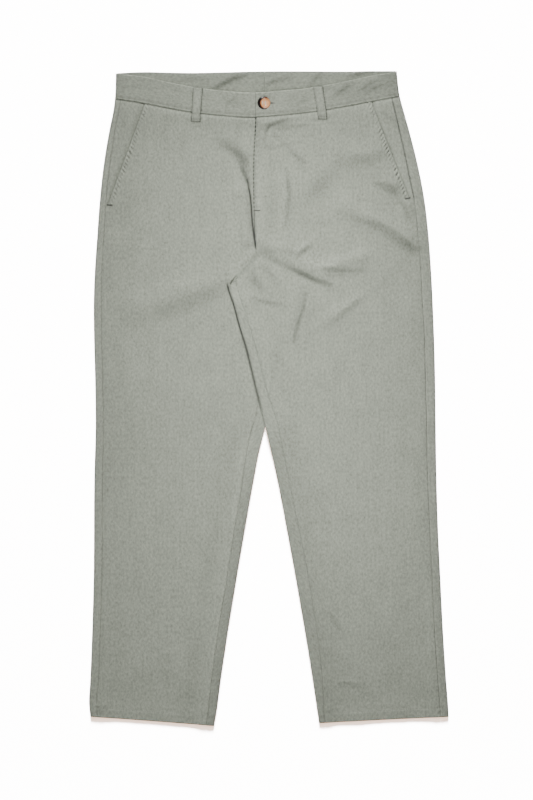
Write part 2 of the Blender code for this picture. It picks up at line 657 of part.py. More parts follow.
# --- Belt loops --------------------------------------------------------------------------------
LoopPlace = namedtuple("LoopPlace", "name leg x_top x_bottom")
FRONT_LOOPS = (
    LoopPlace("belt_loop_front_right", RIGHT, -109.7, -113.4),
    LoopPlace("belt_loop_front_left", LEFT, 76.1, 83.6),
)
BackLoopPlace = namedtuple("BackLoopPlace", "name x")
BACK_LOOPS = (
    BackLoopPlace("belt_loop_back_right", -122.0),
    BackLoopPlace("belt_loop_back_centre", BACK_SEAM_X),
    BackLoopPlace("belt_loop_back_left", 104.0),
)
ACROSS_LOOP = np.array([-1.0, LOOP_EDGE_WIDTH - 1.0, 1.0 - LOOP_EDGE_WIDTH, 1.0])


def support(leg, x, y):
    """Upper side of whatever a front loop lies on: the band, and the front below it."""
    over = ground(leg, x, y)
    on_band = over + band_level(leg, x)
    return np.where(y > front_seam(x) - LOOP_LEVEL_RUN, on_band, front_upper(leg, x, y))


def front_loop(place):
    y_top = front_top(place.x_top) - LOOP_TOP_INSET
    y_bottom = front_seam(place.x_bottom) - LOOP_BELOW_BAND
    part = np.linspace(0.0, 1.0, LOOP_STATIONS + 1)[:, None]
    x = place.x_top + (place.x_bottom - place.x_top) * part + ACROSS_LOOP * LOOP_WIDTH / 2.0
    y = y_top + (y_bottom - y_top) * part + 0.0 * ACROSS_LOOP
    bottom = support(place.leg, x, y) + SEAM + LOOP_ARCH * np.sin(math.pi * part)
    edge = LOOP_EDGE_DROP * (abs(ACROSS_LOOP) == 1.0)
    return solid_from_sheets(place.name, stack(x, y, bottom + LOOP_THICK - edge), stack(x, y, bottom))


def back_loop(place):
    """A back loop, pressed flat between the band and the ground."""
    part = np.array([0.0, 1.0])[:, None]
    y_top = back_top(place.x) - LOOP_TOP_INSET
    y_bottom = back_seam(place.x) - LOOP_BELOW_BAND
    x = place.x + ACROSS_LOOP * LOOP_WIDTH / 2.0 + 0.0 * part
    y = y_top + (y_bottom - y_top) * part + 0.0 * ACROSS_LOOP
    return solid_from_sheets(place.name, stack(x, y, LOOP_THICK), stack(x, y, 0.0))


# --- Button ------------------------------------------------------------------------------------
def turned_solid(name, profile, segments):
    """A solid of revolution about Z; the profile runs from the lower centre to the upper one."""
    mesh_data = bmesh.new()
    angles = 2.0 * math.pi * np.arange(segments) / segments
    rings = []
    for radius, height in profile:
        turns = angles if radius > 0.0 else angles[:1]
        ring = stack(radius * np.cos(turns), radius * np.sin(turns), height) * MM
        rings.append([mesh_data.verts.new(point) for point in ring])
    for low, high in zip(rings, rings[1:]):
        for k in range(segments):
            places = (low, k), (low, k + 1), (high, k + 1), (high, k)
            corners = [ring[at % len(ring)] for ring, at in places]
            mesh_data.faces.new(list(dict.fromkeys(corners)))
    bmesh.ops.recalc_face_normals(mesh_data, faces=mesh_data.faces)
    return object_from_bmesh(name, mesh_data)


def waist_button():
    edge = BUTTON_RADIUS
    inner = BUTTON_RADIUS - BUTTON_RIM
    profile = [(0.0, 0.0), (edge - BUTTON_ROUND, 0.0), (edge, BUTTON_ROUND)]
    profile += [(edge, BUTTON_HEIGHT - BUTTON_ROUND), (edge - BUTTON_ROUND, BUTTON_HEIGHT)]
    profile += [(inner, BUTTON_HEIGHT - BUTTON_RIM_FALL)]
    profile += [(inner - BUTTON_DISH, BUTTON_HEIGHT - BUTTON_DISH), (0.0, BUTTON_HEIGHT - BUTTON_DISH)]
    button = turned_solid("button", profile, BUTTON_SEGMENTS)
    over = float(ground(LEFT, BUTTON_X, BUTTON_Y) + band_level(LEFT, BUTTON_X)) + SEAM
    button.location = (BUTTON_X * MM, BUTTON_Y * MM, over * MM)
    for k in range(4):
        turn = math.pi / 4.0 + k * math.pi / 2.0
        reach = BUTTON_HOLE_SPACING / math.sqrt(2.0)
        rod = turned_solid("button_hole_cutter_%d" % k, [
            (0.0, -BUTTON_HEIGHT), (BUTTON_HOLE_RADIUS, -BUTTON_HEIGHT),
            (BUTTON_HOLE_RADIUS, 2.0 * BUTTON_HEIGHT), (0.0, 2.0 * BUTTON_HEIGHT)], HOLE_SEGMENTS)
        rod.location = (reach * math.cos(turn) * MM, reach * math.sin(turn) * MM, 0.0)
        rod.parent = button
        rod.hide_render = True
        rod.display_type = "WIRE"
        cut = button.modifiers.new("hole_%d" % k, "BOOLEAN")
        cut.operation = "DIFFERENCE"
        cut.object = rod
    return button


# --- Build -------------------------------------------------------------------------------------
def clear_scene():
    for piece in list(bpy.data.objects):
        bpy.data.objects.remove(piece, do_unlink=True)


def cord_material(name, colour, roughness):
    material = bpy.data.materials.new(name)
    material.use_nodes = True
    shader = material.node_tree.nodes["Principled BSDF"]
    shader.inputs["Base Color"].default_value = (*colour, 1.0)
    shader.inputs["Roughness"].default_value = roughness
    shader.inputs["Metallic"].default_value = 0.0
    return material


def centre_on_origin(pieces):
    """Hang every piece on an empty that puts the origin under the middle of the whole shape."""
    bpy.context.view_layer.update()
    corners = np.array([piece.matrix_world @ vertex.co
                        for piece in pieces for vertex in piece.data.vertices])
    middle = (corners.min(axis=0) + corners.max(axis=0)) / 2.0
    garment = bpy.data.objects.new("trousers", None)
    bpy.context.scene.collection.objects.link(garment)
    garment.location = (-middle[0], -middle[1], 0.0)
    for piece in pieces:
        piece.parent = garment


def main():
    clear_scene()
    pieces = []
    for leg in LEGS:
        pieces += [back_piece(leg), hip_facing(leg), front_piece(leg), waistband(leg)]
    pieces += [front_loop(place) for place in FRONT_LOOPS]
    pieces += [back_loop(place) for place in BACK_LOOPS]
    for piece in pieces:
        piece.data.materials.append(cord_material(piece.name, CORD_COLOUR, CORD_ROUGHNESS))
    button = waist_button()
    button.data.materials.append(cord_material("button", BUTTON_COLOUR, BUTTON_ROUGHNESS))
    centre_on_origin(pieces + [button])


main()
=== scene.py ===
"""Looks of the corduroy trousers: fine cloth shells, seams, stitches and the button.

The trousers lie flat, waistband towards +Y, front upwards, and the wearer's left leg at +X.
Sizes are in millimetres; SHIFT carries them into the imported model's frame.  Each cloth piece
repeats the form of its solid from the same tables, with finer rows and columns, and adds the
creases, puckers, seam edges and hems to the height of its upper side.
"""

import math
from collections import namedtuple

import bpy
import numpy as np
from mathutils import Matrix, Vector


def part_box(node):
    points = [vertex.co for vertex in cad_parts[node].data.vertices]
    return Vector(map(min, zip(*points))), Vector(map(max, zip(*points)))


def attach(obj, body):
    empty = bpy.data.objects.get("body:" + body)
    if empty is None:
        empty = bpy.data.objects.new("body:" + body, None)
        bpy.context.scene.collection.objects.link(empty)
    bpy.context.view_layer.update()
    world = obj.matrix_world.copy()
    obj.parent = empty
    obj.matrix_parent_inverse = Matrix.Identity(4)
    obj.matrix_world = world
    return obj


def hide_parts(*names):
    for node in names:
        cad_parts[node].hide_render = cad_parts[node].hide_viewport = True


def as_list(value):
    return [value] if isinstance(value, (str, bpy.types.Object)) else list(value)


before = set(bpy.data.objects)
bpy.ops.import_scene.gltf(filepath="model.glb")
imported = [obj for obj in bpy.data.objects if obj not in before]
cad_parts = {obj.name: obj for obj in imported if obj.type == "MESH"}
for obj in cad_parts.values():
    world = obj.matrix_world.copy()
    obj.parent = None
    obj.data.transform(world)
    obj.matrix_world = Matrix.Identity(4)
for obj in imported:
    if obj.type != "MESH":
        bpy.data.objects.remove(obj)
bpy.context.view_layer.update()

MM = 0.001

# --- Cloth -------------------------------------------------------------------------------------
CLOTH = 1.4            # needlecord, one layer
BAND = 2.8             # waistband, two layers
TURN_UP = 0.4          # what the turned-up hem adds to a wall
HEM_DEPTH = 15.0       # depth of the turned-up hem
HEM_BLEND = 3.0        # half the length over which the hem's thickness comes in
SEAM = 0.3             # gap between pieces that meet at a seam
REST = 0.6             # air between layers that lie on each other
EDGE_HEIGHT = 5.4      # height of a leg's rolled side edge
PRESSED_HEIGHT = 3.4   # the same where the other leg lies on it

# --- Waistband ---------------------------------------------------------------------------------
BAND_HEIGHT = 39.6
BAND_REST = 0.4        # air between the band's layers
BAND_EDGE_HEIGHT = 7.4 # height of the band's rolled side edge
BAND_SIDE_RUN = 45.0   # the band settles to its flat level this far in from the side
BAND_PROUD = 0.7       # how far the band stands over the cloth sewn to it
BAND_SLOPE_RUN = 25.0  # the fronts come down from the band over this length
BACK_SEAM_X = -6.8     # the band's centre-back seam
OVERLAP_END_X = -20.8  # where the left band ends on the right one
UNDERLAP_END_X = 15.0  # where the right band ends under the left one
OVERLAP_CLEAR = 3.0    # the left band stays lifted this far past that end
OVERLAP_RUN = 40.0     # and then comes down over this length

# --- Fly and pockets ---------------------------------------------------------------------------
FLY_X = -21.9          # free edge of the left front, at its straight middle part
FLY_UNDERLAP = 15.0    # how far the right front reaches under it
FLY_CLEAR = 2.0
FLY_RUN = 24.0         # the left front comes down to its own level over this length
FLY_END_Y = 238.0      # lower end of the fly's overlap
FLY_FADE = 22.0
FLY_GAP = 1.4          # what lies between the two fronts at the fly
FACING_UNDERLAP = 14.0 # how far the hip facing reaches under the front's pocket edge
FACING_GAP = 0.7
FACING_DROP_RUN = 14.0 # the facing goes down below the front within this length
POCKET_LIFT = 0.6      # how far the pocket's folded edge stands up
POCKET_LIFT_RUN = 12.0
POCKET_PLATEAU = 15.0  # the upper side stays high this far inside the pocket edge

# --- Where one leg lies on the other -----------------------------------------------------------
CROTCH_Y = 177.0       # where the two inseams meet the crotch seam
CROSSING_Y = 143.0     # from here down the right leg's edge is under the left leg
OVER_HEIGHT = 3.9      # the left leg's lift over the right one
OVER_CLEAR = 2.0
OVER_RUN = 60.0        # the lifted leg comes back to the ground over this length
OVER_TOP_RUN = 31.0    # and is lifted within this length below the crotch
OVER_FADE_Y = (-52.0, -110.0)
CROTCH_RISE = 14.0     # how far the inseam's start lies above the rolled edge's start
CROTCH_RISE_RUN = 50.0

# --- Belt loops and button ---------------------------------------------------------------------
LOOP_WIDTH = 13.5
LOOP_THICK = 2.2
LOOP_BELOW_BAND = 14.0
LOOP_TOP_INSET = 0.8
LOOP_ARCH = 1.6        # how far a front loop bows away from the band
LOOP_LIFT = LOOP_THICK + SEAM   # the back loops hold the waist this far off the ground
LIFT_Y = (396.0, 448.0)         # where the back comes up on to them
BUTTON_X = -7.6
BUTTON_Y = 457.2
BUTTON_RADIUS = 10.0
BUTTON_HOLE_SPACING = 4.2

# --- Folds of the upper side -------------------------------------------------------------------
EDGE_SETTLE = 40.0     # the upper side comes down from a side edge over this length
INSEAM_SETTLE = 30.0

# --- Rows --------------------------------------------------------------------------------------
WAIST_ROW = 450.0      # nominal row of the waist seam
WAIST_BEND_END = 335.0 # rows run straight across below this
HEM_TILT_START = -230.0
SETTLE_STEPS = 5       # how often a row's ends are worked out anew


def table(row, *values):
    """Rows of a named tuple from plain numbers."""
    return tuple(row(*numbers) for numbers in values)


WaistRow = namedtuple("WaistRow", "x front_top front_seam back_top")
WAIST = table(
    WaistRow,
    (-236, 503.3, 463.8, 504.8), (-194, 499.0, 457.6, 506.6), (-157, 490.8, 450.3, 505.8),
    (-118, 483.2, 443.6, 505.2), (-77, 477.8, 439.2, 506.0), (-21, 474.2, 436.2, 507.4),
    (27, 477.6, 439.8, 507.8), (73, 483.2, 445.4, 507.6), (122, 492.6, 453.4, 507.4),
    (159, 500.4, 460.6, 508.0), (200, 507.2, 467.6, 508.2),
)

# The side edges, and how far inside them the outseam shows.
OuterRow = namedtuple("OuterRow", "y x seam")
RIGHT_OUTER = table(
    OuterRow,
    (510, -237.1, 9), (464, -238.8, 9), (440, -242.3, 9), (420, -246.7, 9), (390, -252.3, 10),
    (350, -258.1, 10), (300, -263.1, 10), (250, -266.7, 11), (200, -270.1, 11), (150, -271.9, 12),
    (100, -271.4, 12), (30, -269.7, 12), (-40, -268.9, 12), (-120, -270.9, 13),
    (-280, -272.1, 13), (-360, -274.3, 13), (-440, -277.5, 13), (-472, -279.1, 12),
    (-491, -277.3, 11), (-515, -276.1, 11),
)
LEFT_OUTER = table(
    OuterRow,
    (510, 197.9, 13), (468, 203.0, 13), (440, 210.7, 14), (420, 216.5, 15), (390, 224.5, 16),
    (350, 233.9, 17), (300, 242.7, 16), (250, 248.1, 16), (200, 251.7, 16), (150, 254.3, 16),
    (100, 256.3, 15), (30, 258.1, 15), (-40, 258.9, 14), (-120, 260.1, 14), (-200, 262.5, 13),
    (-280, 266.3, 13), (-360, 270.3, 13), (-440, 275.5, 13), (-480, 278.5, 13), (-515, 279.9, 12),
)

# The inner edges below the crotch, and how far inside them the inseam shows.
InnerRow = namedtuple("InnerRow", "y x seam")
LEFT_INNER = table(
    InnerRow,
    (CROTCH_Y, -61.8, 11), (121, -47.7, 15), (60, -32.2, 17), (5, -18.9, 18), (-37, -7.2, 20),
    (-80, 3.0, 19), (-120, 12.0, 18), (-200, 27.4, 19), (-280, 42.0, 20), (-360, 55.8, 19),
    (-440, 68.6, 15), (-490, 76.0, 10), (-515, 79.8, 9),
)
RIGHT_INNER = table(
    InnerRow,
    (CROSSING_Y, -48.3, 5), (121, -35.3, 9), (90, -22.9, 12), (59, -13.5, 13), (28, -7.3, 13),
    (5, -4.8, 12), (-20, -3.9, 15), (-40, -5.1, 19), (-57, -8.8, 20), (-80, -14.7, 19),
    (-120, -22.5, 17), (-200, -36.7, 16), (-280, -50.3, 15), (-360, -63.3, 15), (-440, -75.1, 14),
    (-480, -80.3, 13), (-515, -86.5, 12),
)

# The seams on the centre line: the crotch seam under the fly, and the centre-back seam.
RiseRow = namedtuple("RiseRow", "y x")
FRONT_RISE = table(
    RiseRow,
    (460, -19.0), (420, -19.8), (385, FLY_X), (290, FLY_X), (250, -20.6), (233, -20.4),
    (217, -28.0), (204, -39.4), (190, -52.4), (CROTCH_Y, -61.8),
)
BACK_RISE = table(
    RiseRow,
    (470, BACK_SEAM_X), (330, -8.0), (260, -14.0), (227, -26.0), (203, -42.0), (190, -52.0),
    (CROTCH_Y, -62.3),
)

# Folds of the fronts: a ridge from one point to another, its half width and its height.
Fold = namedtuple("Fold", "x1 y1 x2 y2 width height")
FOLDS = (
    Fold(-62, 372, -45, 330, 15, 2.4),      # right front, beside the fly: upper part
    Fold(-45, 318, -33, 246, 11, 4.2),      # the same fold's deep lower part
    Fold(-8, 400, -8, 250, 10, 2.4),        # the fly's own edge
    Fold(-24, 226, -58, 184, 7, 1.8),       # crotch seam
    Fold(-2, 238, 62, 206, 12, 4.0),        # left thigh: the fold over the deepest crease
    Fold(96, 208, 148, 222, 11, 3.0),       # its second arm
    Fold(42, 170, 38, 120, 10, 2.0),        # left thigh, upright
    Fold(116, 300, 206, 246, 14, 3.0),      # left hip, across to the side seam
    Fold(156, 372, 196, 338, 12, 2.6),      # below the left pocket's mouth
    Fold(10, 424, 34, 432, 9, 1.8),         # under the band beside the fly
    Fold(-72, 186, -206, 146, 20, 2.2),     # right thigh, from the crotch outwards
    Fold(-196, 330, -206, 236, 22, 1.4),    # right hip, over the pocket
    Fold(20, 330, 60, 300, 18, 1.6),        # left front, beside the fly
)

# The hems: their height at the middle of the leg, and how they slope towards +X.
Hem = namedtuple("Hem", "row slope")
RIGHT_HEM = Hem(-500.3, -0.074)
LEFT_HEM = Hem(-498.1, 0.049)

# The pockets' slanted edges, from the upper end to the lower one.
PocketEnd = namedtuple("PocketEnd", "x y")
RIGHT_POCKET = (PocketEnd(-191.3, 459.0), PocketEnd(-249.6, 300.0))
LEFT_POCKET = (PocketEnd(159.3, 459.0), PocketEnd(217.9, 310.5))

Leg = namedtuple("Leg", (
    "name", "side", "outer", "seam_out", "inner", "seam_in", "hem_row", "hem_slope", "pocket_top",
    "pocket_end"))


# --- Curves and steps --------------------------------------------------------------------------
def smooth_curve(rows, key, value):
    """A function through a table's rows: cubic between them and level past its ends."""
    pairs = sorted((getattr(row, key), getattr(row, value)) for row in rows)
    knots = np.array([pair[0] for pair in pairs], dtype=float)
    heights = np.array([pair[1] for pair in pairs], dtype=float)
    slopes = np.gradient(heights, knots)

    def curve(where):
        where = np.clip(where, knots[0], knots[-1])
        index = np.clip(np.searchsorted(knots, where, side="right") - 1, 0, len(knots) - 2)
        width = knots[index + 1] - knots[index]
        part = (where - knots[index]) / width
        rest = 1.0 - part
        return (heights[index] * (1.0 + 2.0 * part) * rest * rest
                + heights[index + 1] * (3.0 - 2.0 * part) * part * part
                + slopes[index] * width * part * rest * rest
                - slopes[index + 1] * width * part * part * rest)

    return curve


def step(value, start, end):
    """0 at start, 1 at end, with level ends; start may be the larger of the two."""
    part = np.clip((value - start) / (end - start), 0.0, 1.0)
    return part * part * (3.0 - 2.0 * part)


def bump(value, middle, width):
    """1 at middle, and nearly 0 from twice width on, on both sides."""
    return np.exp(-(((value - middle) / width) ** 2))


front_top = smooth_curve(WAIST, "x", "front_top")
front_seam = smooth_curve(WAIST, "x", "front_seam")
back_top = smooth_curve(WAIST, "x", "back_top")
front_rise = smooth_curve(FRONT_RISE, "y", "x")
back_rise = smooth_curve(BACK_RISE, "y", "x")


def back_seam(x):
    """The back band's lower edge."""
    return back_top(x) - BAND_HEIGHT


def make_leg(name, side, outer, inner, hem, pocket):
    return Leg(
        name=name,
        side=side,
        outer=smooth_curve(outer, "y", "x"),
        seam_out=smooth_curve(outer, "y", "seam"),
        inner=smooth_curve(inner, "y", "x"),
        seam_in=smooth_curve(inner, "y", "seam"),
        hem_row=hem.row,
        hem_slope=hem.slope,
        pocket_top=pocket[0],
        pocket_end=pocket[1],
    )


RIGHT = make_leg("right", -1, RIGHT_OUTER, RIGHT_INNER, RIGHT_HEM, RIGHT_POCKET)
LEFT = make_leg("left", 1, LEFT_OUTER, LEFT_INNER, LEFT_HEM, LEFT_POCKET)
LEGS = (RIGHT, LEFT)


def hem_middle(leg):
    return (leg.outer(leg.hem_row) + leg.inner(leg.hem_row)) / 2.0


def row_y(leg, row, x, waist_seam):
    """Where a row runs at x: the rows bend to the waist seam and tilt to the hem."""
    bend = (waist_seam(x) - WAIST_ROW) * step(row, WAIST_BEND_END, WAIST_ROW)
    tilt = leg.hem_slope * (x - hem_middle(leg)) * step(row, HEM_TILT_START, leg.hem_row)
    return row + bend + tilt


def row_end(leg, row, waist_seam, edge):
    """The x at which a row meets an edge that is given as a function of y."""
    x = edge(row)
    for _ in range(SETTLE_STEPS):
        x = edge(row_y(leg, row, x, waist_seam))
    return x

# --- Heights -----------------------------------------------------------------------------------
def hem_distance(leg, x, y):
    return y - leg.hem_row - leg.hem_slope * (x - hem_middle(leg))


def wall(leg, x, y):
    """Thickness of the cloth, with the hem turned up inside."""
    return CLOTH + TURN_UP * step(hem_distance(leg, x, y), HEM_DEPTH + HEM_BLEND, HEM_DEPTH - HEM_BLEND)


def ground(leg, x, y):
    """How far the lowest layer is off the ground: on the back loops, or on the other leg."""
    lift = LOOP_LIFT * step(y, *LIFT_Y)
    if leg is RIGHT:
        return lift + 0.0 * x
    edge = RIGHT.inner(y) + OVER_CLEAR
    along = step(y, CROTCH_Y, CROTCH_Y - OVER_TOP_RUN) * step(y, OVER_FADE_Y[1], OVER_FADE_Y[0])
    return lift + OVER_HEIGHT * along * step(x, edge + OVER_RUN, edge)


def relief(x, y):
    """The folds of the upper side."""
    total = 0.0 * x * y
    for fold in FOLDS:
        run_x = fold.x2 - fold.x1
        run_y = fold.y2 - fold.y1
        part = ((x - fold.x1) * run_x + (y - fold.y1) * run_y) / (run_x ** 2 + run_y ** 2)
        part = np.clip(part, 0.0, 1.0)
        away = np.hypot(x - fold.x1 - part * run_x, y - fold.y1 - part * run_y)
        total = total + fold.height * bump(away, 0.0, fold.width)
    return total


def pocket_x(leg, y):
    """The pocket's edge, a straight line from the waist seam to its lower end."""
    part = (y - leg.pocket_end.y) / (leg.pocket_top.y - leg.pocket_end.y)
    return leg.pocket_end.x + (leg.pocket_top.x - leg.pocket_end.x) * part


def outseam_x(leg, y):
    return leg.outer(y) - leg.side * leg.seam_out(y)


def inseam_x(leg, y):
    return leg.inner(y) + leg.side * leg.seam_in(y)


def band_level(leg, x):
    """Upper side of the front band over its ground."""
    flat = 2.0 * BAND + BAND_REST
    inside = leg.side * (leg.outer(WAIST_ROW) - x)
    level = flat + (BAND_EDGE_HEIGHT - flat) * step(inside, BAND_SIDE_RUN, 0.0)
    if leg is RIGHT:
        return level
    lifted = UNDERLAP_END_X + OVERLAP_CLEAR
    return level + (BAND + BAND_REST) * step(x, lifted + OVERLAP_RUN, lifted)


def inner_height(leg, y):
    """Height of the inner rolled edge: pressed flat where the legs cross."""
    if leg is RIGHT:
        return PRESSED_HEIGHT + (EDGE_HEIGHT - PRESSED_HEIGHT) * step(y, *OVER_FADE_Y)
    return PRESSED_HEIGHT + (EDGE_HEIGHT - PRESSED_HEIGHT) * step(y, CROTCH_Y, CROSSING_Y)


def upper(leg, x, y):
    """Upper side of the outermost layer, over the ground."""
    flat = 2.0 * wall(leg, x, y) + REST
    from_outer = leg.side * (leg.outer(y) - x)
    from_inner = leg.side * (x - leg.inner(y))
    at_pocket = leg.side * (leg.outer(y) - pocket_x(leg, y)) + POCKET_PLATEAU
    open_part = step(y, leg.pocket_end.y - POCKET_PLATEAU, leg.pocket_end.y + POCKET_PLATEAU)
    high = leg.seam_out(y) + open_part * np.maximum(at_pocket - leg.seam_out(y), 0.0)
    level = flat + (EDGE_HEIGHT - flat) * step(from_outer, high + EDGE_SETTLE, high)
    below = step(y, CROTCH_Y + CROTCH_RISE, CROSSING_Y)
    near = step(from_inner, leg.seam_in(y) + INSEAM_SETTLE, leg.seam_in(y))
    level = level + np.maximum(inner_height(leg, y) - flat, 0.0) * near * below
    level = level + relief(x, y)
    if leg is LEFT:
        lapped = FLY_X + FLY_UNDERLAP + FLY_CLEAR
        lap = step(x, lapped + FLY_RUN, lapped) * step(y, FLY_END_Y - FLY_FADE, FLY_END_Y)
        level = level + (CLOTH + FLY_GAP) * lap
    from_band = front_seam(x) - y
    at_band = step(from_band, BAND_SLOPE_RUN, 0.0)
    return level + (band_level(leg, x) - BAND_PROUD - level) * at_band


# --- Creases -------------------------------------------------------------------------------------
# A crease is a soft ridge along its way, or a trough where its height is negative.  left and right
# are its widths on the two sides as seen along it, so one side can be steep.  shade is the painted
# shade along its middle, the part of the cloth's colour that is taken away, or painted light that is
# added where it is negative.
Crease = namedtuple("Crease", "left right height shade points")
PIXEL = 1.55           # millimetres in a pixel of the photograph
PHOTO_COLUMN = 268.4   # the photograph's column and row at x = 0, y = 0
PHOTO_ROW = 398.2


def crease(left, right, height, shade, *places):
    """A crease through given columns and rows of the photograph, with its strength there."""
    points = [(round((column - PHOTO_COLUMN) * PIXEL, 1), round((PHOTO_ROW - row) * PIXEL, 1), strength)
              for column, row, strength in places]
    return Crease(left, right, height, shade, points)


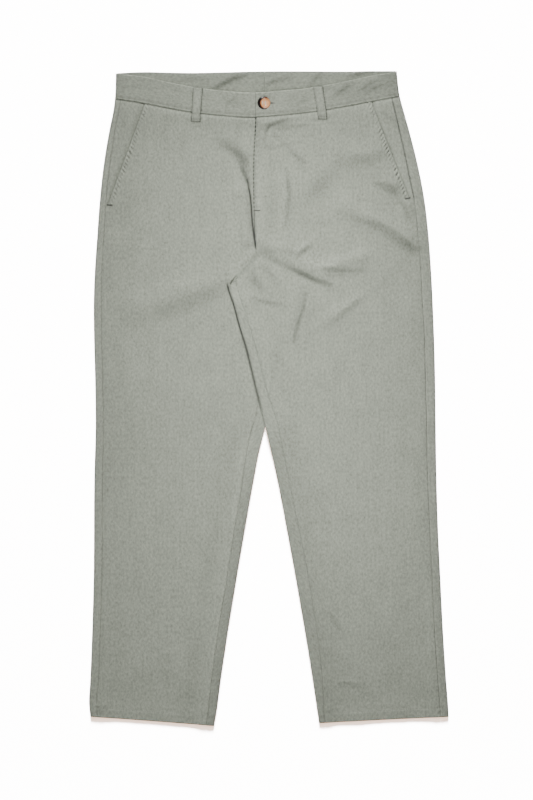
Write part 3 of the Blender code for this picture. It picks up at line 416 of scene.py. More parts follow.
FRONT_CREASES = (
    # Beside the fly, and the crotch seam.
    crease(1.6, 1.6, -3.0, 0.95, (246.6, 179, 0.4), (248.4, 188, 0.9), (249.9, 196, 1),
           (250.9, 207.5, 1), (251.8, 222, 1), (253.3, 234, 1), (254.7, 244, 0.8), (255.8, 251, 0.2)),
    crease(4.0, 8.0, -3.51, 0, (233, 144, 0.3), (238, 152, 0.7), (242, 163, 0.8), (245.5, 175, 1),
           (247.5, 184, 0.3)),
    crease(2.2, 2.2, 1.62, 0, (249.5, 160, 0.3), (251.2, 178, 0.8), (252.6, 195, 1), (253.6, 210, 0.9),
           (254.8, 228, 0.6)),
    crease(2.6, 3.4, 0.61, -0.07, (255.7, 251, 0.4), (246.6, 263.8, 1), (235.6, 275.3, 1),
           (229.3, 282, 0.5)),
    # The left front, below the band.
    crease(6.0, 3.4, 1.76, 0, (263, 123, 0.3), (270, 121.5, 1), (279, 118.5, 1), (289, 116.5, 0.3)),
    crease(3.0, 3.0, -1.76, 0, (268.5, 127, 0.8), (266.2, 132, 1), (265.6, 142, 0.3)),
    crease(5.0, 3.0, 1.08, 0, (294, 125, 0.4), (302, 123.6, 1), (311, 122.5, 0.3)),
    crease(6.0, 3.2, 1.35, 0, (273, 144, 0.3), (283, 143, 1), (293, 141, 0.3)),
    crease(8.0, 4.0, 2.03, 0, (287, 149, 0.3), (296, 153.5, 1), (306, 160.5, 0.5)),
    crease(2.6, 6.0, 1.22, 0, (286.5, 163, 0.4), (286.8, 180, 1), (286.8, 205, 1), (284, 226, 0.4)),
    # The left thigh.
    crease(12.0, 5.0, 3.51, 0, (266, 255, 0.05), (278, 259, 0.2), (294, 265.8, 0.75), (307, 272.4, 1),
           (322, 279.4, 0.9), (334, 283.6, 0.25)),
    crease(4.0, 5.0, -1.76, 0, (290, 269.5, 0.3), (307, 277.5, 1), (323, 284.2, 0.9), (335, 286, 0.2)),
    crease(9.0, 4.0, 1.89, 0, (316, 268, 0.25), (324, 266.8, 0.9), (332, 266.4, 1), (343, 266.6, 0.75),
           (354, 266.6, 0.45), (366, 266.4, 0.15)),
    crease(4.5, 4.5, 1.62, 0, (318, 272, 0.4), (332, 273, 1), (348, 272.5, 0.6), (362, 270, 0.2)),
    crease(7.0, 3.6, 2.29, 0, (295, 252.5, 0.3), (303, 247.2, 1), (312, 242.5, 0.35)),
    # The left hip and pocket.
    crease(11.0, 5.6, 3.51, 0, (358, 214, 0.2), (372, 218.5, 0.6), (386, 223, 0.8), (396, 229.5, 1),
           (406, 238, 1), (416, 245.5, 0.7)),
    crease(4.6, 3.8, 2.03, 0, (401, 196.5, 0.3), (407, 204.5, 1), (411, 213, 0.5)),
    crease(10.0, 8.0, 1.49, 0, (356, 153, 0.3), (372, 156.5, 1), (386, 155, 0.4)),
    crease(7.0, 4.4, 2.16, 0, (372, 179, 0.3), (384, 181.5, 1), (395, 186, 0.8), (401, 190, 0.3)),
    # Lower on the left thigh.
    crease(3.4, 3.4, -1.08, 0, (303.2, 292, 0.3), (300.6, 304, 1), (297, 318, 1), (293.5, 335, 0.3)),
    crease(8.0, 5.0, 2.03, 0, (310, 294, 0.3), (306.5, 309, 1), (302.5, 324, 0.8), (299, 342, 0.25)),
    crease(4.0, 9.0, 2.29, 0, (365, 294.5, 0.2), (354, 300.5, 0.9), (344, 307.8, 1), (335, 315.5, 0.6),
           (326, 323, 0.2)),
    # The right leg.
    crease(14.0, 26.0, 1.22, 0, (229, 278, 0.35), (206, 285, 0.8), (187, 291, 1), (166, 301, 1),
           (148, 310, 0.8), (129, 317.5, 0.3)),
    crease(9.0, 9.0, 1.22, 0, (141, 152, 0.2), (135, 174, 0.9), (130, 196, 1), (126, 218, 0.3)),
    crease(5.0, 8.0, 1.35, 0, (112, 215, 0.2), (113, 240, 1), (111.5, 262, 0.8), (111, 285, 0.2)),
    crease(3.0, 3.0, 0.81, 0, (114.5, 448, 0.2), (114.2, 470, 1), (113.8, 500, 0.2)),
    crease(5.0, 3.4, 0.61, 0, (149, 640, 0.3), (160, 649, 1), (172, 659, 1), (186, 670, 0.3)),
    crease(6.0, 5.0, 0.34, 0, (146, 672, 0.3), (158, 668, 1), (170, 675, 0.4)),
    # The left shin.
    crease(4.5, 2.8, 0.88, 0, (337, 684.5, 0.3), (344.5, 681.3, 1), (352, 682.8, 0.9), (361, 687, 0.3)),
    crease(4.0, 2.6, 0.94, 0, (327, 632.5, 0.3), (334, 633.5, 1), (341, 630.5, 0.3)),
    crease(4.0, 3.0, 0.81, 0, (331, 612, 0.3), (337, 618, 1), (345, 622, 0.3)),
    crease(4.0, 2.6, 0.81, 0, (362, 690, 0.3), (371, 691.5, 1), (383, 690.5, 0.3)),
    # Painted shade and painted light without a height: beside the fly and on the left front.
    crease(9.5, 8.0, 0, 0.5, (217, 141, 0.2), (227, 146, 0.7), (236, 152.5, 1), (242.5, 159, 0.9),
           (247.5, 168, 0.3)),
    crease(5.0, 3.2, 0, 0.52, (239.5, 163, 0.3), (241.8, 169.5, 0.9), (245, 176.5, 1),
           (248.3, 182, 0.6)),
    crease(2.6, 3.6, 0, 0.44, (287, 119.5, 0.4), (277, 122.8, 0.9), (269, 126, 1), (265.8, 131, 0.7),
           (265.2, 139, 0.35), (265.5, 148, 0.1)),
    crease(3.6, 3.6, 0, -0.1, (271, 132, 0.5), (280, 128, 1), (292, 124, 0.6)),
    crease(5.0, 6.0, 0, 0.11, (258, 120, 0.6), (259.5, 134, 1), (260, 149, 0.8), (259, 160, 0.4)),
    crease(2.6, 2.6, 0, -0.06, (258.5, 158, 0.4), (257.5, 180, 1), (257.5, 204, 0.8)),
    crease(2.2, 2.2, 0, -0.08, (251.5, 150, 0.4), (250.8, 164, 1), (251.8, 178, 0.6)),
    crease(6.0, 6.0, 0, 0.07, (300, 128, 0.4), (312, 133, 0.8), (324, 130, 0.4)),
    crease(4.6, 4.0, 0, 0.24, (273, 135, 0.3), (284, 143, 0.8), (292, 151, 1), (301, 161.5, 0.8),
           (304, 171, 0.3)),
    crease(3.4, 3.0, 0, 0.15, (263, 147, 0.4), (270, 148, 0.9), (279, 147, 0.5)),
    crease(2.6, 3.6, 0, 0.26, (286, 168, 0.5), (287.5, 180, 1), (289, 192, 1), (288.4, 205, 1),
           (285, 226, 0.6)),
    crease(13.0, 13.0, 0, 0.2, (338, 168, 0.5), (328, 177, 1), (318, 187, 1), (306, 200, 0.5)),
    crease(11.0, 11.0, 0, 0.24, (334, 161, 0.3), (352, 160, 0.9), (370, 157, 1), (383, 154, 0.7)),
    crease(6.0, 6.0, 0, 0.1, (364, 173, 0.3), (378, 178, 0.8), (391, 187, 0.6)),
    crease(5.0, 5.0, 0, 0.08, (300, 219, 0.4), (318, 222, 1), (335, 225, 0.4)),
    crease(7.0, 7.0, 0, 0.07, (272, 192, 0.4), (270, 210, 1), (268, 226, 0.5)),
    # Beside the left pocket, and on the hip and thigh.
    crease(5.0, 4.0, 0, 0.3, (374, 184, 0.4), (384, 188.3, 1), (393, 191.8, 1), (400, 196, 0.4)),
    crease(3.5, 3.5, 0, 0.24, (399, 199, 0.4), (404.5, 208, 1), (408, 218, 0.5)),
    crease(8.0, 8.0, 0, 0.28, (345, 216, 0.3), (364, 221, 0.7), (380, 227, 0.9), (397, 238, 1),
           (412, 250, 0.9)),
    crease(4.0, 3.6, 0, 0.32, (288, 268, 0.5), (300, 273, 1), (315, 280.8, 1), (331, 287, 0.5)),
    crease(3.8, 3.8, 0, 0.27, (265, 256, 0.2), (273, 259, 1), (283, 264.5, 0.6)),
    crease(4.4, 4.4, 0, 0.22, (275, 249, 0.4), (286, 250, 1), (297, 254, 0.5)),
    crease(3.4, 3.2, 0, 0.32, (297, 257, 0.5), (302, 251.5, 1), (308, 247, 0.6)),
    # Further on the left thigh.
    crease(5.0, 5.0, 0, -0.06, (306, 262, 0.6), (320, 264, 1), (338, 262.5, 0.7)),
    crease(2.8, 3.0, 0, 0.36, (321, 269.8, 0.5), (334, 270.8, 1), (348, 270.4, 1), (364, 270, 0.5)),
    crease(6.0, 7.0, 0, 0.3, (250, 270, 0.4), (254, 279, 1), (262, 289, 0.7)),
    crease(3.8, 3.8, 0, 0.33, (252, 298.5, 0.4), (266, 301.5, 1), (284, 304.5, 0.5)),
    crease(4.6, 4.6, 0, 0.26, (262, 267, 0.4), (272, 275, 0.8), (281, 287, 0.3)),
    crease(3.8, 3.4, 0, 0.46, (305, 293, 0.5), (302.8, 308, 1), (298, 322, 1), (293, 341, 0.6)),
    crease(13.0, 13.0, 0, -0.06, (320, 299, 0.6), (335, 305, 1), (346, 312, 0.5)),
    crease(4.6, 5.4, 0, 0.13, (366, 298, 0.4), (350, 309.5, 0.9), (332, 324, 1), (306, 335, 0.6)),
    crease(6.0, 6.0, 0, 0.12, (408, 257, 0.3), (391, 273, 0.8), (372, 293, 0.7)),
    crease(4.6, 4.6, 0, 0.12, (268, 352, 0.5), (277, 357.5, 1), (286, 366, 0.4)),
    crease(5.0, 5.0, 0, 0.08, (275, 374, 0.4), (283, 384, 1), (288, 396, 0.4)),
    # The crotch seam and the right thigh.
    crease(12.0, 12.0, 0, 0.15, (224, 290, 0.5), (205, 297, 0.9), (188, 304, 1), (171, 311, 0.9),
           (150, 318, 0.4), (128, 324, 0.1)),
    crease(4.2, 4.2, 0, -0.1, (260.5, 255.5, 0.8), (251, 266, 1), (241, 276, 1), (234.5, 284, 0.8)),
    crease(2.6, 2.6, 0, 0.12, (253.6, 252, 0.4), (245, 261.4, 1), (235.5, 271.6, 1),
           (228.5, 278.5, 0.6)),
    crease(2.2, 2.2, 0, 0.13, (246, 190, 0.4), (247.4, 203, 1), (249, 220, 1), (251.6, 238, 0.6)),
    # The left hip facing and side seam.
    crease(3.6, 3.6, 0, 0.22, (380, 111.5, 0.4), (387, 116.5, 1), (394, 120, 0.6)),
    crease(2.2, 2.2, 0, 0.14, (401, 152, 0.4), (406, 155, 1), (411, 157.5, 0.4)),
    crease(2.2, 2.2, 0, 0.14, (407, 175, 0.4), (411, 177.3, 1), (415, 178, 0.4)),
    # The lower legs.
    crease(2.4, 3.0, 0, -0.07, (252.6, 436, 0.7), (241, 459, 1), (233, 520, 0.9), (223, 590, 1),
           (213, 655, 0.9), (205.8, 704, 0.6)),
    crease(3.0, 3.0, 0, 0.16, (330, 616, 0.5), (336, 624, 1), (342, 632, 0.6)),
    crease(2.6, 2.4, 0, 0.22, (338, 683.4, 0.6), (350, 682.8, 1), (366, 687.5, 0.5)),
    crease(3.0, 3.0, 0, 0.1, (306, 523, 0.4), (320, 521, 0.8), (335, 523, 0.4)),
    crease(3.0, 3.0, 0, 0.1, (310, 545, 0.4), (325, 543, 0.8), (339, 546, 0.4)),
    crease(6.0, 6.0, 0, 0.08, (380, 650, 0.4), (394, 625, 0.8), (409, 600, 0.5)),
    crease(4.0, 4.0, 0, 0.08, (316, 648, 0.4), (326, 655, 0.9), (337, 652, 0.4)),
    crease(7.0, 7.0, 0, 0.07, (156, 662, 0.4), (168, 674, 1), (182, 681, 0.5)),
)
BAND_CREASES = (
    crease(5.0, 3.0, 1.4, 0.26, (333, 96.5, 0.3), (338, 92, 1), (345, 87, 1), (351, 83, 0.3)),
    crease(4.0, 3.0, 1.2, 0.3, (359, 90.5, 0.3), (367, 84.2, 1), (378, 79.2, 0.4)),
    crease(4.0, 3.0, 1.0, 0.22, (365, 93, 0.3), (374, 87, 1), (386, 82.5, 0.3)),
    crease(4.0, 3.0, 0.6, 0.14, (297, 104, 0.2), (303, 99.5, 1), (311, 97, 0.3)),
    crease(5.0, 4.0, 0.6, 0.09, (124, 86, 0.2), (135, 84, 1), (150, 87, 0.3)),
    crease(4.0, 3.0, 0.5, 0.16, (226, 107, 0.2), (229, 101, 1), (236, 96, 0.3)),
    crease(10.0, 10.0, 0, 0.12, (338, 96, 0.5), (352, 93, 1), (370, 90, 1), (390, 87, 0.9)),
)
INNER_BAND_CREASES = (
    crease(6.0, 3.0, 2.4, 0.4, (213, 88.5, 0.5), (223, 82.6, 1), (233, 77.8, 1), (246, 74, 0.4)),
    crease(4.0, 2.6, 1.5, 0.32, (265, 84, 0.4), (274, 80.4, 1), (287, 77.4, 0.5)),
    crease(4.0, 3.0, 1.6, 0.26, (308, 85, 0.4), (314.5, 77.6, 1), (320, 72.4, 0.5)),
    crease(3.0, 2.4, 1.6, 0.34, (347, 76.6, 0.4), (358, 73.2, 1), (373, 70.8, 0.4)),
    crease(4.0, 3.0, 1.0, 0.1, (176, 80, 0.3), (190, 77, 1), (203, 77.5, 0.4)),
)


def crease_form(x, y, crease):
    """From 0 to 1 along the middle of a crease."""
    nearest = np.full(x.shape, np.inf)
    form = np.zeros(x.shape)
    for (x1, y1, strength1), (x2, y2, strength2) in zip(crease.points, crease.points[1:]):
        run_x, run_y = x2 - x1, y2 - y1
        length = math.hypot(run_x, run_y)
        part = np.clip(((x - x1) * run_x + (y - y1) * run_y) / length ** 2, 0.0, 1.0)
        off_x, off_y = x - x1 - part * run_x, y - y1 - part * run_y
        away = np.hypot(off_x, off_y)
        side = (run_x * off_y - run_y * off_x) / (length * np.maximum(away, 1e-6))
        width = crease.right + (crease.left - crease.right) * (0.5 + 0.5 * side)
        value = (strength1 + (strength2 - strength1) * part) * bump(away, 0.0, width)
        form = np.where(away < nearest, value, form)
        nearest = np.minimum(nearest, away)
    return form


def creases(x, y, table, column="height"):
    """The creases of a table added up: their heights, or what another column names."""
    x, y = np.broadcast_arrays(np.asarray(x, dtype=float), np.asarray(y, dtype=float))
    total = np.zeros(x.shape)
    for crease in table:
        xs = [point[0] for point in crease.points]
        ys = [point[1] for point in crease.points]
        reach = 3.0 * max(crease.left, crease.right)
        near = (x > min(xs) - reach) & (x < max(xs) + reach)
        near &= (y > min(ys) - reach) & (y < max(ys) + reach)
        if near.any():
            total[near] += getattr(crease, column) * crease_form(x[near], y[near], crease)
    return total


# --- Unevenness, gathers and rounded edges -------------------------------------------------------
LATTICE = 256          # the noise repeats after this many cells
LATTICE_START = 1000.0 # keeps the numbers of its cells positive
# What cloth never quite loses: faint swells and dents, longer along the legs.
Swell = namedtuple("Swell", "height across along seed")
LEG_SWELLS = (Swell(0.55, 34.0, 60.0, 3), Swell(0.30, 13.0, 19.0, 5), Swell(0.10, 5.0, 7.0, 7))
BAND_SWELLS = (Swell(0.35, 26.0, 18.0, 31), Swell(0.12, 7.0, 5.0, 33))
ROLL_SWELL = Swell(0.35, 22.0, 1.0, 29)
# Small gathers beside a stitched edge; middle is how far from the edge they are highest.
Gather = namedtuple("Gather", "period middle spread height seed")
OUTSEAM_GATHER = Gather(9.0, 0.0, 5.0, 0.22, 11)
INSEAM_GATHER = Gather(11.0, 0.0, 5.0, 0.2, 13)
HEM_GATHER = Gather(10.0, 0.0, 7.0, 0.3, 17)
FLY_GATHER = Gather(7.0, 0.6, 3.6, 0.35, 23)
POCKET_GATHERS = {-1: Gather(5.7, 4.8, 2.8, 1.0, 18), 1: Gather(5.7, 4.8, 2.8, 1.0, 20)}
GATHER_DRIFT = 0.35    # how far gathers stray, as a part of their period
GATHER_SLANT = 0.04    # and how they slant, in periods a millimetre
GATHER_SIZE = (0.65, 0.6)       # their middle size and how much it varies
GATHER_LIMITS = (0.1, 1.3)
# How an edge is rounded off: over which distance, and how far it comes down.
Rounding = namedtuple("Rounding", "radius depth")
HEM_ROUND = Rounding(1.6, 1.3)
WAIST_ROUND = Rounding(1.6, 0.9)
BAND_ROUND = Rounding(1.5, 1.2)
BACK_SEAM_ROUND = Rounding(1.3, 0.8)
EDGE_ROUND = 1.3       # radius at the long edges of the legs' pieces
LEAST_WALL = 0.45      # what a rounded edge keeps of the wall
ALLOWANCE = 9.0        # the seam allowances underneath lift the cloth this far beside a seam
ALLOWANCE_RISE = 0.55
ALLOWANCE_EDGE = 3.0
BAND_FADE = (1.0, 14.0)         # fine relief comes in over this length below the band
EDGE_FADE = (2.0, 16.0)         # and swells over this length inside the side edge
HEM_GROOVE = 0.3
HEM_GROOVE_WIDTH = 1.3
POCKET_GATHER_RISE = 0.45
POCKET_STITCH = 5.0    # how far inside the pocket's edge its stitches run
POCKET_GROOVE = 0.4
POCKET_GROOVE_WIDTH = 0.9


def noise(x, y, across, along, seed):
    """Smooth value noise from -1 to 1, with its own cell size each way."""
    values = np.random.RandomState(seed).uniform(-1.0, 1.0, (LATTICE, LATTICE))
    u, v = x / across + LATTICE_START, y / along + LATTICE_START
    i, j = np.floor(u).astype(int), np.floor(v).astype(int)
    a, b = step(u - i, 0.0, 1.0), step(v - j, 0.0, 1.0)
    i0, i1, j0, j1 = i % LATTICE, (i + 1) % LATTICE, j % LATTICE, (j + 1) % LATTICE
    low = values[i0, j0] * (1.0 - a) + values[i1, j0] * a
    high = values[i0, j1] * (1.0 - a) + values[i1, j1] * a
    return low * (1.0 - b) + high * b


def swells(x, y, table):
    return sum(swell.height * noise(x, y, swell.across, swell.along, swell.seed) for swell in table)


def puckers(along, away, gather):
    """Small gathers beside a stitched edge, uneven in length and height."""
    drift = noise(along, 0.0 * along, 3.0 * gather.period, 1.0, gather.seed)
    phase = along / gather.period + GATHER_DRIFT * drift + GATHER_SLANT * away
    change = noise(along, 0.0 * along, 1.7 * gather.period, 1.0, gather.seed + 1)
    size = np.clip(GATHER_SIZE[0] + GATHER_SIZE[1] * change, *GATHER_LIMITS)
    wave = gather.height * np.sin(2.0 * math.pi * phase)
    return wave * size * bump(away, gather.middle, gather.spread)


def edge_drop(distance, radius, depth):
    """How far a rounded edge lies below the flat beside it."""
    part = np.clip(1.0 - distance / radius, 0.0, 1.0)
    return depth * (1.0 - np.sqrt(1.0 - part * part))


def seam_allowance(distance):
    """The lift of the cloth over a seam's allowances, for a finger's width beside it."""
    outer_end = step(distance, ALLOWANCE + ALLOWANCE_EDGE, ALLOWANCE)
    return ALLOWANCE_RISE * outer_end * step(distance, 0.0, 2.0)


def softplus(value, width):
    """Nearly max(value, 0), with a soft bend."""
    return 0.5 * (value + np.sqrt(value * value + width * width))


def from_edges(leg, x, y):
    """Distances from a leg's outer and inner edges."""
    return leg.side * (leg.outer(y) - x), leg.side * (x - leg.inner(y))


def fine_upper(leg, x, y):
    """Upper side of the outermost layer over its ground, with all fine relief."""
    from_outer, _ = from_edges(leg, x, y)
    below_band = step(front_seam(x) - y, *BAND_FADE)
    outseam = abs(outseam_x(leg, y) - x)
    inseam = abs(x - inseam_x(leg, y))
    hem = hem_distance(leg, x, y)
    level = upper(leg, x, y) + creases(x, y, FRONT_CREASES) * below_band
    level = level + swells(x, y, LEG_SWELLS) * below_band * step(from_outer, *EDGE_FADE)
    level = level + seam_allowance(outseam) * below_band + puckers(y, outseam, OUTSEAM_GATHER)
    below = step(y, CROTCH_Y + 4.0, CROTCH_Y - 20.0)
    level = level + below * (seam_allowance(inseam) + puckers(y, inseam, INSEAM_GATHER))
    level = level - HEM_GROOVE * bump(hem, HEM_DEPTH, HEM_GROOVE_WIDTH)
    level = level + puckers(x, abs(hem - HEM_DEPTH + 4.0), HEM_GATHER)
    lowest = 2.0 * wall(leg, x, y) + 0.2
    return lowest + softplus(level - lowest, 0.35)


def pocket_puckers(leg, x, y):
    """Small slanting gathers beside the pocket's stitched edge, from -1 to 1."""
    inside = leg.side * (pocket_x(leg, y) - x)
    return pocket_open(leg, y) * puckers(y + 0.7 * inside, inside, POCKET_GATHERS[leg.side])


def pocket_open(leg, y):
    """1 beside the pocket's mouth, 0 below it."""
    return step(y, leg.pocket_end.y - 2.0, leg.pocket_end.y + 6.0)


def pocket_strength(leg, y):
    """The pocket's edge stands off and has a darker painted shade line in its upper part, and lies
    close below.
    """
    start = 405.0 if leg is RIGHT else 355.0
    return 0.4 + 0.6 * step(y, start, start + 40.0)


def fine_front(leg, x, y):
    """Upper side of a front piece before its edges are rounded."""
    inside = leg.side * (pocket_x(leg, y) - x)
    mouth = step(y, leg.pocket_end.y, leg.pocket_end.y + POCKET_PLATEAU)
    lift = POCKET_LIFT * step(inside, POCKET_LIFT_RUN, 0.0) * mouth
    level = ground(leg, x, y) + fine_upper(leg, x, y) + lift
    level = level + POCKET_GATHER_RISE * pocket_puckers(leg, x, y)
    groove = POCKET_GROOVE * bump(inside, POCKET_STITCH, POCKET_GROOVE_WIDTH)
    level = level - pocket_open(leg, y) * groove
    if leg is LEFT:
        above_end = step(y, FLY_END_Y + 8.0, FLY_END_Y + 30.0)
        level = level + above_end * puckers(y, x - front_rise(y), FLY_GATHER)
    return level


# --- Painted shade in seams and folds ------------------------------------------------------------
# Painted shade: the cloth's colour is darkened where light hardly reaches, along seams, in deep
# folds and under edges.  Each line has its strength, as a part of the colour, and its half width.
Line = namedtuple("Line", "strength width")
WAIST_LINE = Line(0.64, 0.95)
BAND_STITCH_LINE = Line(0.23, 1.5)
BAND_END_LINE = Line(0.42, 0.9)
FLY_LINE = Line(1.25, 1.1)
POCKET_LINE = Line(0.16, 0.9)
FACING_LINE = Line(0.15, 3.0)
SEAM_SHADE = Line(0.04, 0.7)
HIP_SEAM_LINE = Line(0.50, 1.0)
LEG_EDGE_LINE = Line(0.86, 1.7)
LOOP_EDGE_LINE = Line(0.72, 0.95)
TACK_LINE = Line(0.85, 1.2)
WAIST_LINE_AT = 0.6    # how far below the band its painted shadow line is darkest
FLY_LINE_AT = -0.9     # the same for the fly's edge, towards the right leg
FLY_DOTS = 6.2         # the fly's painted shadow line is darker at every other stitch
FLY_TACK_Y = 291.5     # the short bar tack beside the fly
FLY_TACK_OFF = 4.2
POCKET_TACK_OFF = 2.8  # the middle of a pocket's bar tack, outside its lower end

# Soft stripes of painted shade, or of painted light where the strength is negative: their strength,
# how far from an edge or line they run, and their half width.
Strip = namedtuple("Strip", "strength middle width")
# Painted light and painted shade in stripes above the hem's edge.
HEM_STRIPS = (Strip(-0.05, 5.0, 4.5), Strip(0.03, 12.0, 4.0), Strip(-0.07, 24.0, 8.0))
# Painted light just below the waist seam.
WAIST_STRIP = Strip(-0.16, 3.3, 1.5)
WAIST_BY_FLY = Strip(0.5, -32.0, 18.0)  # its painted shadow line is darker here, across x
BAND_LIGHT = 0.10      # painted light on the cloth just below the band
BAND_LIGHT_RUN = 16.0
# Painted light beside the right leg's side seam.
HIP_STRIP = Strip(-0.05, 3.0, 1.6)
CORNER_PAINTED_SHADE = 0.16     # painted shade at the hems' corners
CORNER_ACROSS = 7.0
CORNER_ALONG = 8.0
# Painted shade on the right leg about its knee.
RIGHT_SHIN_PAINTED_SHADE = 0.05
GATHER_PAINTED_SHADE = 0.85     # painted shade in the hollows of the pocket's gathers
GATHER_LIGHT = 0.35    # and the most painted light on their backs

# The same stripes of painted shade, and painted light where negative, along a leg's outer or inner
# edge, where starts and ends are the heights between which a stripe comes in and goes out.
EdgeShade = namedtuple("EdgeShade", "edge strength middle width starts ends", defaults=(None, None))
BELOW_KNEES = (-20.0, -60.0)
ABOVE_RIGHT_SHIN = (-260.0, -60.0)
BELOW_LEFT_HIP = (330.0, 240.0)
ABOVE_LEFT_SHIN = (-350.0, -220.0)
RIGHT_EDGE_SHADES = (
    EdgeShade("outer", 0.03, 0.0, 30.0),
    EdgeShade("outer", 0.05, 0.0, 30.0, ABOVE_RIGHT_SHIN),
    EdgeShade("outer", 0.055, 38.0, 24.0, ABOVE_RIGHT_SHIN),
    EdgeShade("outer", 0.06, 1.8, 1.3),
    EdgeShade("outer", -0.035, 6.0, 3.0),
    EdgeShade("inner", 0.06, 0.0, 3.0, BELOW_KNEES),
    EdgeShade("inner", 0.07, 44.0, 16.0, BELOW_KNEES),
)
LEFT_EDGE_SHADES = (
    EdgeShade("outer", 0.02, 0.0, 42.0),
    EdgeShade("outer", 0.06, 0.0, 42.0, BELOW_LEFT_HIP, ABOVE_LEFT_SHIN),
    EdgeShade("outer", 0.05, 25.0, 9.0, BELOW_LEFT_HIP, ABOVE_LEFT_SHIN),
    EdgeShade("outer", -0.035, 6.0, 4.0, BELOW_LEFT_HIP, ABOVE_LEFT_SHIN),
    EdgeShade("inner", 0.15, 0.0, 46.0, (-30.0, -100.0)),
    EdgeShade("inner", 0.11, 0.0, 3.0, BELOW_KNEES),
)


def line_shade(line, distance):
    return line.strength * bump(distance, 0.0, line.width)


def strip_shade(strip, distance):
    return strip.strength * bump(distance, strip.middle, strip.width)


def painted_edge_shade(edge_shade_stripe, distance, y):
    shade = strip_shade(edge_shade_stripe, distance)
    for fade in (edge_shade_stripe.starts, edge_shade_stripe.ends):
        if fade:
            shade = shade * step(y, *fade)
    return shade


def fly_shade(x, y):
    """Painted shadow line along the fly's edge: darkest under the band, dotted to the bar tack, gone at
    its end.
    """
    strength = 0.62 + 0.38 * step(y, 400.0, 430.0)
    strength = strength * step(y, FLY_END_Y - 14.0, FLY_END_Y + 10.0)
    above_tack = step(y, FLY_TACK_Y - 3.5, FLY_TACK_Y + 2.5)
    dots = 0.75 + 0.35 * np.cos(2.0 * math.pi * y / FLY_DOTS) * above_tack
    return strength * dots * line_shade(FLY_LINE, x - front_rise(y) - FLY_LINE_AT)


def leg_edge_shade(x, y):
    """Painted shadow beside the left leg's edge, where it lies on the right leg."""
    strength = step(y, -44.0, 10.0) * (0.88 + 0.12 * step(y, 20.0, 80.0))
    strength = strength * step(y, CROTCH_Y + 6.0, CROTCH_Y - 4.0)
    inside = -0.5 - 2.2 * step(y, 140.0, 168.0) + 2.3 * step(y, 130.0, 70.0)
    return strength * line_shade(LEG_EDGE_LINE, x - LEFT.inner(y) - inside)


def loop_side_shade(x, y):
    """Painted shadow along the sides and below the ends of the front belt loops."""
    shade = 0.0 * x * y
    for place in FRONT_LOOPS:
        y_top, y_bottom = loop_ends(place)
        middle = loop_middle(place, np.clip((y_top - y) / (y_top - y_bottom), 0.0, 1.0))
        beside = np.maximum(abs(x - middle) - LOOP_WIDTH / 2.0, 0.0)
        below = np.maximum(y_bottom - y, 0.0)
        strength = np.where(x > middle, 1.0, 0.75) * step(y, y_top + 3.0, y_top)
        shade = shade + strength * line_shade(LOOP_EDGE_LINE, np.hypot(beside, below))
    return shade


def leg_shade(leg, x, y):
    """Painted shade and painted light that all layers of a leg's upper side share."""
    distances = dict(zip(("outer", "inner"), from_edges(leg, x, y)))
    hem = hem_distance(leg, x, y)
    from_waist = front_seam(x) - y
    shade = creases(x, y, FRONT_CREASES, "shade")
    for edge_shade_stripe in RIGHT_EDGE_SHADES if leg is RIGHT else LEFT_EDGE_SHADES:
        shade = shade + painted_edge_shade(edge_shade_stripe, distances[edge_shade_stripe.edge], y)
    if leg is RIGHT:
        shade = shade + RIGHT_SHIN_PAINTED_SHADE * step(y, 40.0, -20.0) * step(y, -380.0, -260.0)
    for strip in HEM_STRIPS:
        shade = shade + strip_shade(strip, hem)
    corner = sum(bump(distance, 0.0, CORNER_ACROSS) for distance in distances.values())
    shade = shade + CORNER_PAINTED_SHADE * corner * bump(hem, 0.0, CORNER_ALONG)
    shade = shade + leg_edge_shade(x, y) + loop_side_shade(x, y)
    at_waist = line_shade(WAIST_LINE, from_waist - WAIST_LINE_AT)
    shade = shade + (1.0 + strip_shade(WAIST_BY_FLY, x)) * at_waist
    shade = shade - BAND_LIGHT * step(from_waist, BAND_LIGHT_RUN, 0.0)
    return shade + strip_shade(WAIST_STRIP, from_waist)


# Painted shade in the pocket gathers' hollows, and painted light on their backs.
def pocket_pucker_shade(leg, x, y):
    return GATHER_PAINTED_SHADE * np.maximum(-pocket_puckers(leg, x, y), -GATHER_LIGHT)


def tack_shade(x, y, at_x, at_y, half):
    """Painted shade round a bar tack that lies across."""
    return line_shade(TACK_LINE, np.hypot(np.maximum(abs(x - at_x) - half, 0.0), y - at_y))


def hip_seam_shade(leg, distance, y):
    """Painted shade beside the side seam: dark above the left pocket's bar tack, faint elsewhere, with
    painted light beside it on the right leg.
    """
    faint = line_shade(SEAM_SHADE, distance)
    if leg is RIGHT:
        return faint + strip_shade(HIP_STRIP, distance)
    above = step(y, LEFT.pocket_end.y - 6.0, LEFT.pocket_end.y + 4.0)
    return faint * (1.0 - above) + line_shade(HIP_SEAM_LINE, distance) * above


# --- Meshes --------------------------------------------------------------------------------------
SMOOTH_ANGLE = 40.0    # faces that meet at more degrees than this keep a sharp edge
# Painted shade, and painted light where negative, stays within these parts of the colour.
SHADE_LIMITS = (-0.3, 0.9)


def stack(*parts):
    return np.stack(np.broadcast_arrays(*parts), axis=-1)


def spread(start, end, spacing):
    """Values from start to end, both included, about spacing apart."""
    count = max(1, int(round(abs(end - start) / spacing)))
    return np.linspace(start, end, count + 1)


def joined(*runs):
    """Runs that share their ends, as one run of values."""
    return np.concatenate([runs[0]] + [run[1:] for run in runs[1:]])


def side_by_side(*grids):
    return np.concatenate(grids, axis=1)


def signed_volume(corners):
    """Six times the volume inside faces of four corners, negative where they face inwards."""
    first, second, third, fourth = (corners[:, k] for k in range(4))
    return (first * (np.cross(second, third) + np.cross(third, fourth))).sum()


